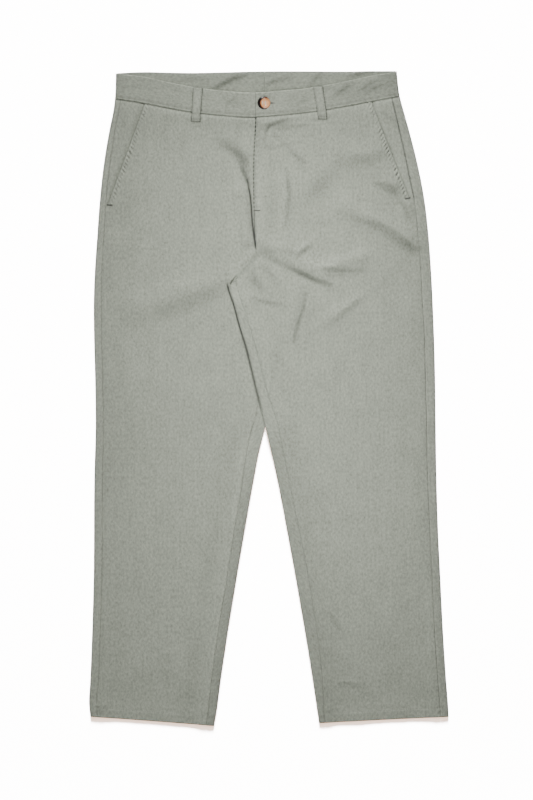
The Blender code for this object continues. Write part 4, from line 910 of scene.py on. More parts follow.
def mesh_object(name, points, faces, maps, smooth_angle=SMOOTH_ANGLE):
    """A mesh object from points in millimetres, faces of equal length and a map in millimetres."""
    mesh = bpy.data.meshes.new(name)
    sides = faces.shape[1]
    mesh.vertices.add(len(points))
    mesh.vertices.foreach_set("co", ((points + SHIFT) * MM).astype(np.float32).ravel())
    mesh.loops.add(faces.size)
    mesh.loops.foreach_set("vertex_index", faces.astype(np.int32).ravel())
    mesh.polygons.add(len(faces))
    mesh.polygons.foreach_set("loop_start", np.arange(0, faces.size, sides, dtype=np.int32))
    mesh.update(calc_edges=True)
    mesh.validate()
    layer = mesh.uv_layers.new(name="wales")
    layer.data.foreach_set("uv", (maps[faces.ravel()] * MM).astype(np.float32).ravel())
    mesh.shade_smooth()
    mesh.set_sharp_from_angle(angle=math.radians(smooth_angle))
    piece = bpy.data.objects.new(name, mesh)
    bpy.context.scene.collection.objects.link(piece)
    return piece


def shell(name, outside, inside, wales, used=None, shade=0.0):
    """A closed wall between two grids of points in millimetres, with a map for its wales."""
    rows, columns = outside.shape[:2]
    if used is None:
        used = np.ones((rows - 1, columns - 1), dtype=bool)
    number = np.arange(rows * columns).reshape(rows, columns)
    below = rows * columns
    i, j = np.nonzero(used)
    a, b, c, d = number[i, j], number[i, j + 1], number[i + 1, j + 1], number[i + 1, j]
    faces = [np.stack([a, b, c, d], axis=1), np.stack([d, c, b, a], axis=1) + below]
    padded = np.zeros((rows + 1, columns + 1), dtype=bool)
    padded[1:rows, 1:columns] = used
    for first, second, down, right in ((a, b, -1, 0), (b, c, 0, 1), (c, d, 1, 0), (d, a, 0, -1)):
        open_side = ~padded[i + 1 + down, j + 1 + right]
        p, q = first[open_side], second[open_side]
        faces.append(np.stack([q, p, p + below, q + below], axis=1))
    faces = np.concatenate(faces)
    points = np.concatenate([outside.reshape(-1, 3), inside.reshape(-1, 3)])
    if signed_volume(points[faces]) < 0.0:
        faces = faces[:, ::-1]
    kept, renumbered = np.unique(faces, return_inverse=True)
    maps = np.tile(wales.reshape(-1, 2), (2, 1))
    piece = mesh_object(name, points[kept], renumbered.reshape(faces.shape), maps[kept])
    # Each point's painted shade goes to the mesh attribute "shade", which the cloth's material takes
    # off its colour.
    shades = np.clip(np.tile((shade + np.zeros((rows, columns))).ravel(), 2), *SHADE_LIMITS)
    layer = piece.data.attributes.new("shade", "FLOAT", "POINT")
    layer.data.foreach_set("value", shades[kept].astype(np.float32))
    return piece


# --- Rows and columns ----------------------------------------------------------------------------
EDGE_STEPS = np.array([0.0, 0.25, 0.55, 0.9, 1.3, 1.9, 2.7, 3.7, 5.0, 6.5, 8.2, 10.0, 12.0])
TOP_ROWS = np.array([WAIST_ROW - SEAM, 449.2, 448.5, 447.4, 446.0])
RowRun = namedtuple("RowRun", "start end spacing")
ROW_RUNS = (RowRun(446.0, 290.0, 1.2), RowRun(290.0, 214.0, 1.6), RowRun(214.0, 150.0, 2.1),
            RowRun(150.0, -20.0, 3.2))
HEM_RUN_START = 24.0   # rows are close from here to the hem
HEM_ROWS = np.array([3.0, 2.0, 1.2, 0.7, 0.3, 0.0])
POCKET_END_ROWS = np.array([1.0, 0.2])


def fine_rows(leg):
    """Rows of a leg's fine shells, from the waist seam to the hem."""
    last = ROW_RUNS[-1].end
    near_hem = leg.hem_row + HEM_RUN_START
    rows = joined(
        TOP_ROWS,
        *(spread(*run) for run in ROW_RUNS),
        spread(last, near_hem, 4.0),
        spread(near_hem, leg.hem_row + HEM_ROWS[0], 1.5),
        leg.hem_row + HEM_ROWS,
    )
    named = (CROTCH_Y, CROSSING_Y, FLY_END_Y)
    return np.unique(np.concatenate([rows, leg.pocket_end.y + POCKET_END_ROWS, named]))[::-1]


def across(width, inner_run, outer_run, middle_count):
    """Distances from a row's inner edge: fixed runs at both edges and even columns between."""
    width = width[:, None]
    left = np.broadcast_to(inner_run, (len(width), len(inner_run)))
    right = width - outer_run[::-1]
    share = np.linspace(0.0, 1.0, middle_count + 1)[1:-1]
    middle = inner_run[-1] + (width - outer_run[-1] - inner_run[-1]) * share
    return side_by_side(left, middle, right)


# --- Fronts --------------------------------------------------------------------------------------
CLOSED = 0.03          # cloths that meet with nothing between them reach this far into each other
SEAM_LINE = 0.12       # half the dark line that a pressed-open seam leaves
SEAM_DROP = 0.35       # how far its edges are rounded off
FREE_DROP = 0.95       # the same for a free edge
CROTCH_SEAM_DROP = 0.12
TUCK = 1.2             # how far the right leg reaches in under the left leg's rolled edge
UNDERLAP_SHARES = np.array([1.0, 0.97, 0.9, 0.75, 0.5, 0.25])
RIGHT_FLY_RUN = joined(EDGE_STEPS[:6], spread(1.9, 12.0, 0.62), spread(12.0, 45.0, 1.5))
LEFT_FRONT_COLUMNS = 84
RIGHT_FRONT_COLUMNS = 60


def crotch_lift(leg, row):
    if leg is RIGHT:
        return 0.0 * row
    return CROTCH_RISE * step(abs(row - CROTCH_Y), CROTCH_RISE_RUN, 0.0)


def front_inner_x(leg, row, y):
    if leg is LEFT:
        return np.where(row > CROTCH_Y, front_rise(y) - CLOSED, inseam_x(LEFT, y) + SEAM_LINE)
    return np.select(
        [row > CROTCH_Y, row > CROSSING_Y],
        [front_rise(y) + CLOSED, LEFT.inner(y) + TUCK],
        inseam_x(RIGHT, y) - SEAM_LINE)


def front_outer_x(leg, row, y):
    at_seam = outseam_x(leg, y) - leg.side * SEAM_LINE
    return np.where(row > leg.pocket_end.y, pocket_x(leg, y), at_seam)


def pocket_tack_x(leg):
    return leg.pocket_end.x - leg.side * POCKET_TACK_OFF


def fly_tack_x():
    return float(front_rise(FLY_TACK_Y)) + FLY_TACK_OFF


def front_shade(leg, x, y, row, from_edge, from_outer):
    """Painted shade of a front piece: along its pocket edge, its seams and its bar tacks."""
    at_mouth = pocket_strength(leg, y) * line_shade(POCKET_LINE, from_outer)
    shade = leg_shade(leg, x, y) + fly_shade(x, y)
    shade = shade + np.where(row > leg.pocket_end.y, at_mouth, line_shade(SEAM_SHADE, from_outer))
    shade = shade + np.where(row < CROTCH_Y, line_shade(SEAM_SHADE, from_edge), 0.0)
    shade = shade + pocket_pucker_shade(leg, x, y)
    shade = shade + tack_shade(x, y, pocket_tack_x(leg), leg.pocket_end.y, 3.4)
    if leg is LEFT:
        shade = shade + 0.5 * tack_shade(x, y, fly_tack_x(), FLY_TACK_Y, 3.0)
    return shade


def fine_front_piece(leg):
    rows = fine_rows(leg)
    row = rows[:, None]
    lift = crotch_lift(leg, rows)
    x_out = row_end(leg, rows, front_seam, lambda y: front_outer_x(leg, rows, y))
    x_in = row_end(leg, rows, front_seam, lambda y: front_inner_x(leg, rows, y + lift))
    width = leg.side * (x_out - x_in)
    if leg is LEFT:
        distance = across(width, EDGE_STEPS, EDGE_STEPS, LEFT_FRONT_COLUMNS)
        from_edge = distance
        used = None
    else:
        distance = across(width, RIGHT_FLY_RUN, EDGE_STEPS, RIGHT_FRONT_COLUMNS)
        reach = np.where(rows >= FLY_END_Y, FLY_X + FLY_UNDERLAP - x_in, 0.0)[:, None]
        from_edge = side_by_side(reach * (1.0 - UNDERLAP_SHARES), reach + distance)
        distance = side_by_side(-reach * UNDERLAP_SHARES, distance)
        used = np.ones((len(rows) - 1, distance.shape[1] - 1), dtype=bool)
        used[rows[:-1] <= FLY_END_Y, :len(UNDERLAP_SHARES)] = False
    x = x_in[:, None] + leg.side * distance
    y = row_y(leg, row, x, front_seam) + lift[:, None] * step(distance, CROTCH_RISE_RUN, 0.0)
    top = fine_front(leg, x, y)
    thick = wall(leg, x, y)
    from_outer = width[:, None] - distance
    at_seam = np.where(row > CROTCH_Y, CROTCH_SEAM_DROP, SEAM_DROP)
    inner_drop = np.where(row > FLY_END_Y, FREE_DROP, at_seam)
    outer_drop = np.where(row > leg.pocket_end.y, FREE_DROP * pocket_strength(leg, row), SEAM_DROP)
    drops = (
        edge_drop(from_edge, EDGE_ROUND, inner_drop),
        edge_drop(from_outer, EDGE_ROUND, outer_drop),
        edge_drop(hem_distance(leg, x, y), *HEM_ROUND),
        edge_drop(front_seam(x) - y, *WAIST_ROUND),
    )
    drop = np.minimum(np.maximum.reduce(drops), thick - LEAST_WALL)
    shade = front_shade(leg, x, y, row, from_edge, from_outer)
    return shell("cloth_front_" + leg.name, stack(x, y, top - drop), stack(x, y, top - thick),
                 stack(x, y), used, shade)


# --- Backs ---------------------------------------------------------------------------------------
INNER_STRIP_SHADE = 0.16        # painted shade on the right leg's inner side below the knee
FLAP_STEPS = np.array([0.0, 0.07, 0.16, 0.27, 0.4, 0.55, 0.7, 0.85, 1.0])
FLAPS = len(FLAP_STEPS)
ROLL_FINE = 12         # steps round a rolled edge
TURNED = np.linspace(0.0, 1.0, ROLL_FINE + 1)[1:-1]
BOTTOM_POINTS = 31
ENDS_DROP = 0.9        # the most that a hem or a waist seam rounds off a back piece or a facing


def rolled_edge(edge, side, height, thick):
    """Outside and inside of rolled edges, one per row, from the upper side to the lower one."""
    angle = np.linspace(math.pi / 2.0, -math.pi / 2.0, ROLL_FINE + 1)[1:-1]
    radius = height[:, None] / 2.0
    middle = edge[:, None] - side * radius
    small = radius - thick[:, None]
    outside = (middle + side * radius * np.cos(angle), radius + radius * np.sin(angle))
    inside = (middle + side * small * np.cos(angle), radius + small * np.sin(angle))
    return outside, inside


def arc_along(x, z):
    """The length along each row of a cut through the cloth."""
    run = np.hypot(np.diff(x, axis=1), np.diff(z, axis=1))
    return side_by_side(np.zeros((len(x), 1)), np.cumsum(run, axis=1))


def back_inner_edge(leg, rows, has_inner):
    """The inner edge of a back piece: the centre-back seam, and the rolled edge below the crotch."""
    rise = row_end(leg, rows, back_seam, lambda y: back_rise(y) - leg.side * CLOSED)
    edge = np.where(has_inner, row_end(leg, rows, back_seam, leg.inner), rise)
    if leg is RIGHT:
        beside = row_end(leg, rows, back_seam, lambda y: LEFT.inner(y) + TUCK / 2.0)
        edge = np.where((rows <= CROTCH_Y) & ~has_inner, beside, edge)
    return edge


def fine_back_piece(leg):
    """A back leg: a flap on the front, the outer roll, the flat underside, the inner roll and flap."""
    side = leg.side
    rows = fine_rows(leg)
    lift = crotch_lift(leg, rows)
    first_inner = CROTCH_Y if leg is LEFT else CROSSING_Y
    has_inner = rows <= first_inner

    edge_out = row_end(leg, rows, front_seam, leg.outer)
    flap_out = row_end(leg, rows, front_seam, lambda y: outseam_x(leg, y) + side * SEAM_LINE)
    y_out = row_y(leg, rows, edge_out, front_seam)
    height_out = upper(leg, edge_out - side * EDGE_HEIGHT / 2.0, y_out)
    height_out = height_out + swells(y_out, 0.0 * y_out, (ROLL_SWELL,))
    start = edge_out - side * height_out / 2.0
    thick = wall(leg, edge_out, y_out)

    edge_in = back_inner_edge(leg, rows, has_inner)
    flap_in = row_end(leg, rows, back_seam, lambda y: inseam_x(leg, y + lift) - side * SEAM_LINE)
    flap_in = np.where(has_inner, flap_in, edge_in)
    y_in = row_y(leg, rows, edge_in, back_seam)
    height_in = np.where(has_inner, upper(leg, edge_in + side * PRESSED_HEIGHT / 2.0, y_in), 0.0)
    end = edge_in + side * height_in / 2.0

    (roll_x, roll_z), (roll_x_in, roll_z_in) = rolled_edge(edge_out, side, height_out, thick)
    inner = rolled_edge(edge_in, -side, np.maximum(height_in, PRESSED_HEIGHT), thick)
    (turn_x, turn_z), (turn_x_in, turn_z_in) = [[grid[:, ::-1] for grid in face] for face in inner]
    bottom = start[:, None] + (end - start)[:, None] * np.linspace(0.0, 1.0, BOTTOM_POINTS)
    flap = flap_out[:, None] + (start - flap_out)[:, None] * FLAP_STEPS
    inner_flap = end[:, None] + (flap_in - end)[:, None] * (1.0 - FLAP_STEPS[::-1])
    x = side_by_side(flap, roll_x, bottom, turn_x, inner_flap)
    x_inside = side_by_side(flap, roll_x_in, bottom, turn_x_in, inner_flap)

    rolled = np.concatenate([np.ones(FLAPS), 1.0 - TURNED, np.zeros(BOTTOM_POINTS), TURNED,
                             np.ones(FLAPS)])
    y_back = row_y(leg, rows[:, None], x, back_seam)
    y = y_back + (row_y(leg, rows[:, None], x, front_seam) - y_back) * rolled
    y[:, -FLAPS:] += (lift * has_inner)[:, None] * (1.0 - FLAP_STEPS[::-1])

    thick = thick[:, None]
    most = thick - LEAST_WALL
    top = fine_upper(leg, x, y)
    settle = FLAP_STEPS ** 2
    flap_top = top[:, :FLAPS] + (height_out[:, None] - top[:, FLAPS - 1:FLAPS]) * settle
    inner_top = top[:, -FLAPS:] + (height_in[:, None] - top[:, -FLAPS:-FLAPS + 1]) * settle[::-1]
    from_outseam = abs(start - flap_out)[:, None] * FLAP_STEPS
    from_inseam = abs(flap_in - end)[:, None] * FLAP_STEPS[::-1]
    at_hem = edge_drop(hem_distance(leg, x, y), *HEM_ROUND)
    ends = np.minimum(np.maximum(at_hem, edge_drop(front_seam(x) - y, *WAIST_ROUND)), ENDS_DROP)
    flap_drop = np.minimum(edge_drop(from_outseam, EDGE_ROUND, SEAM_DROP), most)
    flap_drop = np.maximum(flap_drop, ends[:, :FLAPS])
    inner_drop = np.minimum(edge_drop(from_inseam, EDGE_ROUND, SEAM_DROP), most)
    inner_drop = np.maximum(inner_drop, ends[:, -FLAPS:])
    flat = np.zeros(bottom.shape)
    z = side_by_side(flap_top - flap_drop, roll_z, flat, turn_z, inner_top - inner_drop)
    z_inside = side_by_side(flap_top - thick, roll_z_in, flat + thick, turn_z_in, inner_top - thick)

    used = np.ones((len(rows) - 1, x.shape[1] - 1), dtype=bool)
    used[rows[:-1] > first_inner, -(ROLL_FINE - 1 + FLAPS):] = False
    first = FLAPS + ROLL_FINE - 1
    arc = arc_along(x, z)
    wales = stack(x[:, first:first + 1] - side * (arc - arc[:, first:first + 1]), y)
    shade = leg_shade(leg, x, y) * (rolled > 0.3)
    shade[:, :FLAPS] += hip_seam_shade(leg, from_outseam, y[:, :FLAPS])
    shade[:, -FLAPS:] += line_shade(SEAM_SHADE, from_inseam)
    if leg is RIGHT:
        shade[:, -first:] += INNER_STRIP_SHADE * step(y_in, -60.0, -200.0)[:, None]
    over = ground(leg, x, y)
    return shell("cloth_back_" + leg.name, stack(x, y, over + z), stack(x_inside, y, over + z_inside),
                 wales, used, shade)


# --- Hip facings ---------------------------------------------------------------------------------
FACING_SHARES = np.concatenate([np.linspace(0.0, 1.0, 16) ** 1.4, [1.4, 1.8]])
FACING_UNDER = 0.8     # what lies beyond 1 in those shares, under the front's edge
FACING_SEAM_ROUND = Rounding(EDGE_ROUND, 0.8)
FACING_WAIST_ROUND = Rounding(1.6, 0.6)
FACING_CLEAR = 0.3     # least gap under the front's pocket edge


def fine_facing(leg):
    side = leg.side
    rows = fine_rows(leg)
    rows = rows[rows > leg.pocket_end.y]
    x_seam = row_end(leg, rows, front_seam, lambda y: outseam_x(leg, y) - side * SEAM_LINE)
    x_mouth = row_end(leg, rows, front_seam, lambda y: pocket_x(leg, y))
    shown = (side * (x_seam - x_mouth))[:, None]
    beyond = np.maximum(FACING_SHARES - 1.0, 0.0) / FACING_UNDER
    distance = shown * np.minimum(FACING_SHARES, 1.0) + beyond * FACING_UNDERLAP
    x = x_seam[:, None] - side * distance
    y = row_y(leg, rows[:, None], x, front_seam)
    down = step(distance, shown - np.minimum(FACING_DROP_RUN / 2.0, shown), shown)
    top = ground(leg, x, y) + fine_upper(leg, x, y) - (CLOTH + FACING_GAP) * down
    top = np.minimum(top, fine_front(leg, x, y) - (CLOTH + FACING_CLEAR) * down)
    drop = edge_drop(distance, *FACING_SEAM_ROUND) + edge_drop(front_seam(x) - y, *FACING_WAIST_ROUND)
    shade = leg_shade(leg, x, y) + hip_seam_shade(leg, distance, y)
    shade = shade + pocket_strength(leg, y) * line_shade(FACING_LINE, shown - distance)
    return shell("cloth_hip_facing_" + leg.name, stack(x, y, top - np.minimum(drop, ENDS_DROP)),
                 stack(x, y, top - CLOTH), stack(x, y), shade=shade)


# --- Waistband -----------------------------------------------------------------------------------
# Painted shade over the band, its inside and towards its sides, and painted light along its lower and
# upper edges.
BAND_PAINTED_SHADE = 0.06
INNER_BAND_PAINTED_SHADE = 0.11
BAND_SIDE_PAINTED_SHADE = Line(0.16, 16.0)
BAND_LOW_STRIP = Strip(-0.10, 1.4, 1.2)
BAND_HIGH_STRIP = Strip(-0.20, 0.9, 0.9)
BAND_STITCH_AT = 4.6
BAND_ACROSS_COUNT = 17
BAND_UNDER_COUNT = 90
BAND_ABOVE_COUNT = 118


def fine_band_level(leg, x, y):
    """Upper side of the front band over its ground, with its creases."""
    level = band_level(leg, x) + creases(x, y, BAND_CREASES) + swells(x, y, BAND_SWELLS)
    return np.maximum(level, 2.0 * BAND + 0.15)


def band_shade(x, from_low, from_high, edge):
    """Painted shade: a little darker than the legs, more so towards its sides and along its lower edge,
    with painted light along both edges.
    """
    shade = BAND_PAINTED_SHADE + line_shade(BAND_SIDE_PAINTED_SHADE, edge - x)
    shade = shade + strip_shade(BAND_LOW_STRIP, from_low) + strip_shade(BAND_HIGH_STRIP, from_high)
    return shade + line_shade(BAND_STITCH_LINE, from_low - BAND_STITCH_AT)


def fine_waistband(leg):
    """Half the band: its back part with the inside up, the side roll and its front part."""
    side = leg.side
    front_end = OVERLAP_END_X if leg is LEFT else UNDERLAP_END_X
    rim = EDGE_STEPS[:8]
    ends = rim / BAND_HEIGHT
    middle = np.linspace(ends[-1], 1.0 - ends[-1], BAND_ACROSS_COUNT)
    part = joined(ends, middle, 1.0 - ends[::-1])
    from_low = part[:, None] * BAND_HEIGHT
    from_high = (1.0 - part[:, None]) * BAND_HEIGHT
    edge = leg.outer(front_seam(leg.outer(WAIST_ROW)) + part * BAND_HEIGHT)
    turn = edge - side * BAND_EDGE_HEIGHT / 2.0
    start = BACK_SEAM_X + side * SEAM / 2.0
    under = start + (turn - start)[:, None] * np.linspace(0.0, 1.0, BAND_UNDER_COUNT + 1)
    width = abs(front_end - turn)
    distance = across(width, np.array([0.0]), rim, BAND_ABOVE_COUNT)
    above = turn[:, None] - side * distance
    sizes = (np.full(len(part), BAND_EDGE_HEIGHT), np.full(len(part), BAND))
    outside, inside = rolled_edge(edge, side, *sizes)
    (roll_x, roll_z), (roll_x_in, roll_z_in) = [[grid[:, ::-1] for grid in face]
                                                for face in (outside, inside)]
    x = side_by_side(under, roll_x, above)
    x_inside = side_by_side(under, roll_x_in, above)
    rolled = np.concatenate([np.zeros(under.shape[1]), TURNED, np.ones(above.shape[1])])
    low = back_seam(x) + (front_seam(x) - back_seam(x)) * rolled
    high = back_top(x) + (front_top(x) - back_top(x)) * rolled
    y = low + (high - low) * part[:, None]
    behind = slice(0, under.shape[1])
    ahead = slice(under.shape[1] + len(TURNED), None)

    rounding = np.maximum(edge_drop(from_low, *BAND_ROUND), edge_drop(from_high, *BAND_ROUND))
    end_round = edge_drop(width[:, None] - distance, *BAND_ROUND)
    level = fine_band_level(leg, above, y[:, ahead])
    over_front = y[:, behind] - front_top(under)   # how far the inside shows above the front band
    inner = BAND + creases(under, y[:, behind], INNER_BAND_CREASES) * step(over_front, 0.5, 5.0)
    seam_round = edge_drop(abs(under - start), *BACK_SEAM_ROUND)
    z = side_by_side(0.0 * under, roll_z - rounding * TURNED, level - np.maximum(end_round, rounding))
    z_inside = side_by_side(inner - np.maximum(rounding, seam_round), roll_z_in, level - BAND)

    shade = band_shade(x, from_low, from_high, edge[:, None])
    shade[:, ahead] += line_shade(BAND_END_LINE, width[:, None] - distance)
    shade[:, ahead] += creases(above, y[:, ahead], BAND_CREASES, "shade")
    shade[:, ahead] += loop_side_shade(above, y[:, ahead])
    # The band's inside gets painted shade, a little more where it is close to the front band's edge.
    shade[:, behind] = INNER_BAND_PAINTED_SHADE + creases(under, y[:, behind], INNER_BAND_CREASES, "shade")
    shade[:, behind] += 0.04 * step(over_front, 4.0, 0.5)
    over = ground(leg, x, y)
    wales = stack(from_low + 0.0 * x, arc_along(x, z))
    return shell("cloth_waistband_" + leg.name, stack(x, y, over + z),
                 stack(x_inside, y, over + z_inside), wales, shade=shade)


# --- Belt loops ----------------------------------------------------------------------------------
LoopPlace = namedtuple("LoopPlace", "name leg x_top x_bottom")
FRONT_LOOPS = (
    LoopPlace("belt_loop_front_right", RIGHT, -109.7, -113.4),
    LoopPlace("belt_loop_front_left", LEFT, 76.1, 83.6),
)
BackLoopPlace = namedtuple("BackLoopPlace", "name x")
BACK_LOOPS = (
    BackLoopPlace("belt_loop_back_right", -122.0),
    BackLoopPlace("belt_loop_back_centre", BACK_SEAM_X),
    BackLoopPlace("belt_loop_back_left", 104.0),
)
LOOP_HALF = np.array([-1.0, -0.97, -0.92, -0.85, -0.78, -0.71, -0.65, -0.59, -0.5, -0.38, -0.22, 0.0])
LOOP_ACROSS = np.concatenate([LOOP_HALF, -LOOP_HALF[-2::-1]])
LOOP_ENDS = EDGE_STEPS[:7] / 50.0
LOOP_PARTS = joined(LOOP_ENDS, np.linspace(LOOP_ENDS[-1], 1.0 - LOOP_ENDS[-1], 40),
                    1.0 - LOOP_ENDS[::-1])
BACK_LOOP_ROWS = 24
LOOP_STITCH = 0.68     # its two rows of stitches, as a part of its half width
LOOP_GROOVE = Line(0.4, 0.07)   # the groove they draw, its width as a part of that too
LOOP_FOLD = 9.0        # depth of the turned-in lower end
LOOP_FOLD_RISE = 0.25
LOOP_BAR = 3.4         # the row of stitches across, above the lower end
LOOP_BAR_GROOVE = Line(0.35, 0.7)
LOOP_SIDE_ROUND = Rounding(1.3, 1.1)
LOOP_LOW_ROUND = Rounding(1.4, 1.1)
LOOP_HIGH_ROUND = Rounding(1.6, 1.2)
BACK_LOOP_ROUND = Rounding(1.0, 0.7)
# Painted shade on a front loop along its sides, across its lower end and along its bar of stitches.
LOOP_SIDE_SHADES = (0.6, 0.8)   # parts of LOOP_EDGE_LINE on its two sides
LOOP_END_SHADE = 0.5
LOOP_BAR_SHADE = 0.45


def loop_ends(place):
    return front_top(place.x_top) - LOOP_TOP_INSET, front_seam(place.x_bottom) - LOOP_BELOW_BAND


def loop_middle(place, part):
    return place.x_top + (place.x_bottom - place.x_top) * part


def loop_surface(place, part, sideways):
    """Points of a front loop: x, y, its underside and its upper side."""
    y_top, y_bottom = loop_ends(place)
    length = y_top - y_bottom
    middle = loop_middle(place, part) + 0.0 * sideways
    x = middle + sideways * LOOP_WIDTH / 2.0
    y = y_top - length * part + 0.0 * sideways
    on_band = ground(place.leg, middle, y) + fine_band_level(place.leg, middle, y)
    on_front = fine_front(place.leg, middle, y)
    blend = step(y, front_seam(middle) - 4.0, front_seam(middle) + 1.0)
    below = on_front + (on_band - on_front) * blend
    below = np.maximum(below, np.maximum(on_front * (1.0 - blend), 0.0))
    bottom = below + SEAM + LOOP_ARCH * np.sin(math.pi * part)
    from_end = (1.0 - part) * length
    half = abs(sideways)
    top = bottom + LOOP_THICK + LOOP_FOLD_RISE * step(from_end, LOOP_FOLD + 2.0, LOOP_FOLD)
    top = top - edge_drop((1.0 - half) * LOOP_WIDTH / 2.0, *LOOP_SIDE_ROUND)
    top = top - line_shade(LOOP_GROOVE, half - LOOP_STITCH)
    top = top - edge_drop(from_end, *LOOP_LOW_ROUND) - edge_drop(part * length, *LOOP_HIGH_ROUND)
    top = top - line_shade(LOOP_BAR_GROOVE, from_end - LOOP_BAR)
    return x, y, bottom, np.maximum(top, bottom + 0.5)


def fine_front_loop(place):
    part = LOOP_PARTS[:, None]
    x, y, bottom, top = loop_surface(place, part, LOOP_ACROSS[None, :])
    y_top, y_bottom = loop_ends(place)
    from_end = (1.0 - part) * (y_top - y_bottom)
    shade = LOOP_END_SHADE * line_shade(LOOP_EDGE_LINE, from_end)
    shade = shade + LOOP_BAR_SHADE * line_shade(LOOP_EDGE_LINE, from_end - LOOP_BAR)
    for side, strength in zip((-1.0, 1.0), LOOP_SIDE_SHADES):
        from_side = (1.0 - side * LOOP_ACROSS[None, :]) * LOOP_WIDTH / 2.0
        shade = shade + strength * line_shade(LOOP_EDGE_LINE, from_side)
    return shell("cloth_" + place.name, stack(x, y, top), stack(x, y, bottom), stack(x, y), shade=shade)


def fine_back_loop(place):
    part = np.linspace(0.0, 1.0, BACK_LOOP_ROWS)[:, None]
    y_top = back_top(place.x) - LOOP_TOP_INSET
    y_bottom = back_seam(place.x) - LOOP_BELOW_BAND
    x = place.x + LOOP_ACROSS[None, :] * LOOP_WIDTH / 2.0 + 0.0 * part
    y = y_top + (y_bottom - y_top) * part + 0.0 * x
    drop = edge_drop((1.0 - abs(LOOP_ACROSS)) * LOOP_WIDTH / 2.0, *BACK_LOOP_ROUND)
    top = LOOP_THICK - drop
    return shell("cloth_" + place.name, stack(x, y, top), stack(x, y, 0.0 * x), stack(x, y))


# --- Sewing --------------------------------------------------------------------------------------
THREAD_RADIUS = 0.30
STITCH = 2.7
STITCH_GAP = 0.75
STITCH_START = 0.4     # the first stitch starts this far along its path
THREAD_SIDES = 6
THREAD_SMOOTH = 60.0
TACK_SPACING = 0.42    # between a bar tack's threads
STITCH_LIFT = 0.18     # how far a stitch's middle lies over the cloth
TACK_LIFT = 0.2
LOOP_STITCH_LIFT = 0.12
LOOP_BAR_LIFT = 0.15
POCKET_SEWING = (3.0, 446.0)    # its start above the lower end, and its upper end
POCKET_HIGH_TACK_Y = 441.0
BUTTONHOLE_START_X = BUTTON_X - 4.0
BUTTONHOLE_END_X = 7.4
BUTTONHOLE_SPACING = 0.62
BUTTONHOLE_FAN = np.linspace(-1.2, 1.2, 7)      # directions of the threads round its end
BUTTONHOLE_LIFT = 0.12
BUTTONHOLE_THREAD = 0.28
SLIT_HALF = 0.42
# How far along a stitch its rings are, how wide they are and how high they stand.
Ring = namedtuple("Ring", "along width rise")
STITCH_RINGS = (Ring(0.0, 0.45, -0.75), Ring(0.14, 0.9, 0.0), Ring(0.5, 1.0, 0.35),
                Ring(0.86, 0.9, 0.0), Ring(1.0, 0.45, -0.75))


def threads(name, starts, ends, radius=THREAD_RADIUS):
    """One mesh of short threads, each from its start to its end, with both ends sunk in the cloth."""
    starts, ends = np.asarray(starts, dtype=float), np.asarray(ends, dtype=float)
    run = ends - starts
    run = run / np.maximum(np.linalg.norm(run, axis=1, keepdims=True), 1e-6)
    sideways = np.cross(run, (0.0, 0.0, 1.0))
    sideways = sideways / np.maximum(np.linalg.norm(sideways, axis=1, keepdims=True), 1e-6)
    upward = np.cross(sideways, run)
    angles = 2.0 * math.pi * np.arange(THREAD_SIDES) / THREAD_SIDES
    points, faces = [], []
    for ring in STITCH_RINGS:
        centre = starts + (ends - starts) * ring.along + upward * radius * ring.rise
        for angle in angles:
            outwards = sideways * math.cos(angle) + upward * math.sin(angle)
            points.append(centre + radius * ring.width * outwards)
    points = np.stack(points, axis=1)
    per = points.shape[1]
    for k in range(len(STITCH_RINGS) - 1):
        for s in range(THREAD_SIDES):
            a, b = k * THREAD_SIDES + s, k * THREAD_SIDES + (s + 1) % THREAD_SIDES
            faces += [(a, b, b + THREAD_SIDES), (a, b + THREAD_SIDES, a + THREAD_SIDES)]
    last = (len(STITCH_RINGS) - 1) * THREAD_SIDES
    for s in range(1, THREAD_SIDES - 1):
        faces += [(0, s + 1, s), (last, last + s, last + s + 1)]
    faces = np.array(faces)
    count = len(starts)
    faces = (faces[None] + per * np.arange(count)[:, None, None]).reshape(-1, 3)
    points = points.reshape(-1, 3)
    maps = np.stack([points[:, 0] + points[:, 2], points[:, 1]], axis=1)
    return mesh_object(name, points, faces, maps, THREAD_SMOOTH)


def sew(path, stitch=STITCH, gap=STITCH_GAP):
    """Starts and ends of stitches along a path of points."""
    path = np.asarray(path, dtype=float)
    run = np.concatenate([[0.0], np.cumsum(np.linalg.norm(np.diff(path, axis=0), axis=1))])
    firsts = np.arange(STITCH_START, run[-1] - stitch, stitch + gap)

    def at(where):
        return np.stack([np.interp(where, run, path[:, k]) for k in range(3)], axis=1)

    return at(firsts), at(firsts + stitch)


def on_front(leg, x, y, above=STITCH_LIFT):
    return np.column_stack([x, y, fine_front(leg, x, y) + above])


def bar_tack(leg, centre, direction, length, width):
    """Starts and ends of a bar tack's close threads, which lie across its length on a front."""
    direction = np.array(direction, dtype=float) / math.hypot(*direction)
    across_bar = np.array([-direction[1], direction[0]])
    places = np.linspace(-0.5, 0.5, int(length / TACK_SPACING) + 1)[:, None] * length
    middle = np.array(centre) + places * direction
    sides = (middle + across_bar * width / 2.0, middle - across_bar * width / 2.0)
    return [on_front(leg, side[:, 0], side[:, 1], TACK_LIFT) for side in sides]


def gathered(*pairs):
    return np.concatenate([pair[0] for pair in pairs]), np.concatenate([pair[1] for pair in pairs])


def pocket_sewing(leg):
    y = np.linspace(leg.pocket_end.y + POCKET_SEWING[0], POCKET_SEWING[1], 120)
    x = pocket_x(leg, y) - leg.side * POCKET_STITCH
    row = sew(on_front(leg, x, y))
    at_top = (float(pocket_x(leg, POCKET_HIGH_TACK_Y)) - leg.side * 3.0, POCKET_HIGH_TACK_Y)
    high = bar_tack(leg, at_top, (1.0, 0.1 * leg.side), 6.0, 1.5)
    return threads("sewing_pocket_" + leg.name, *gathered(row, high))


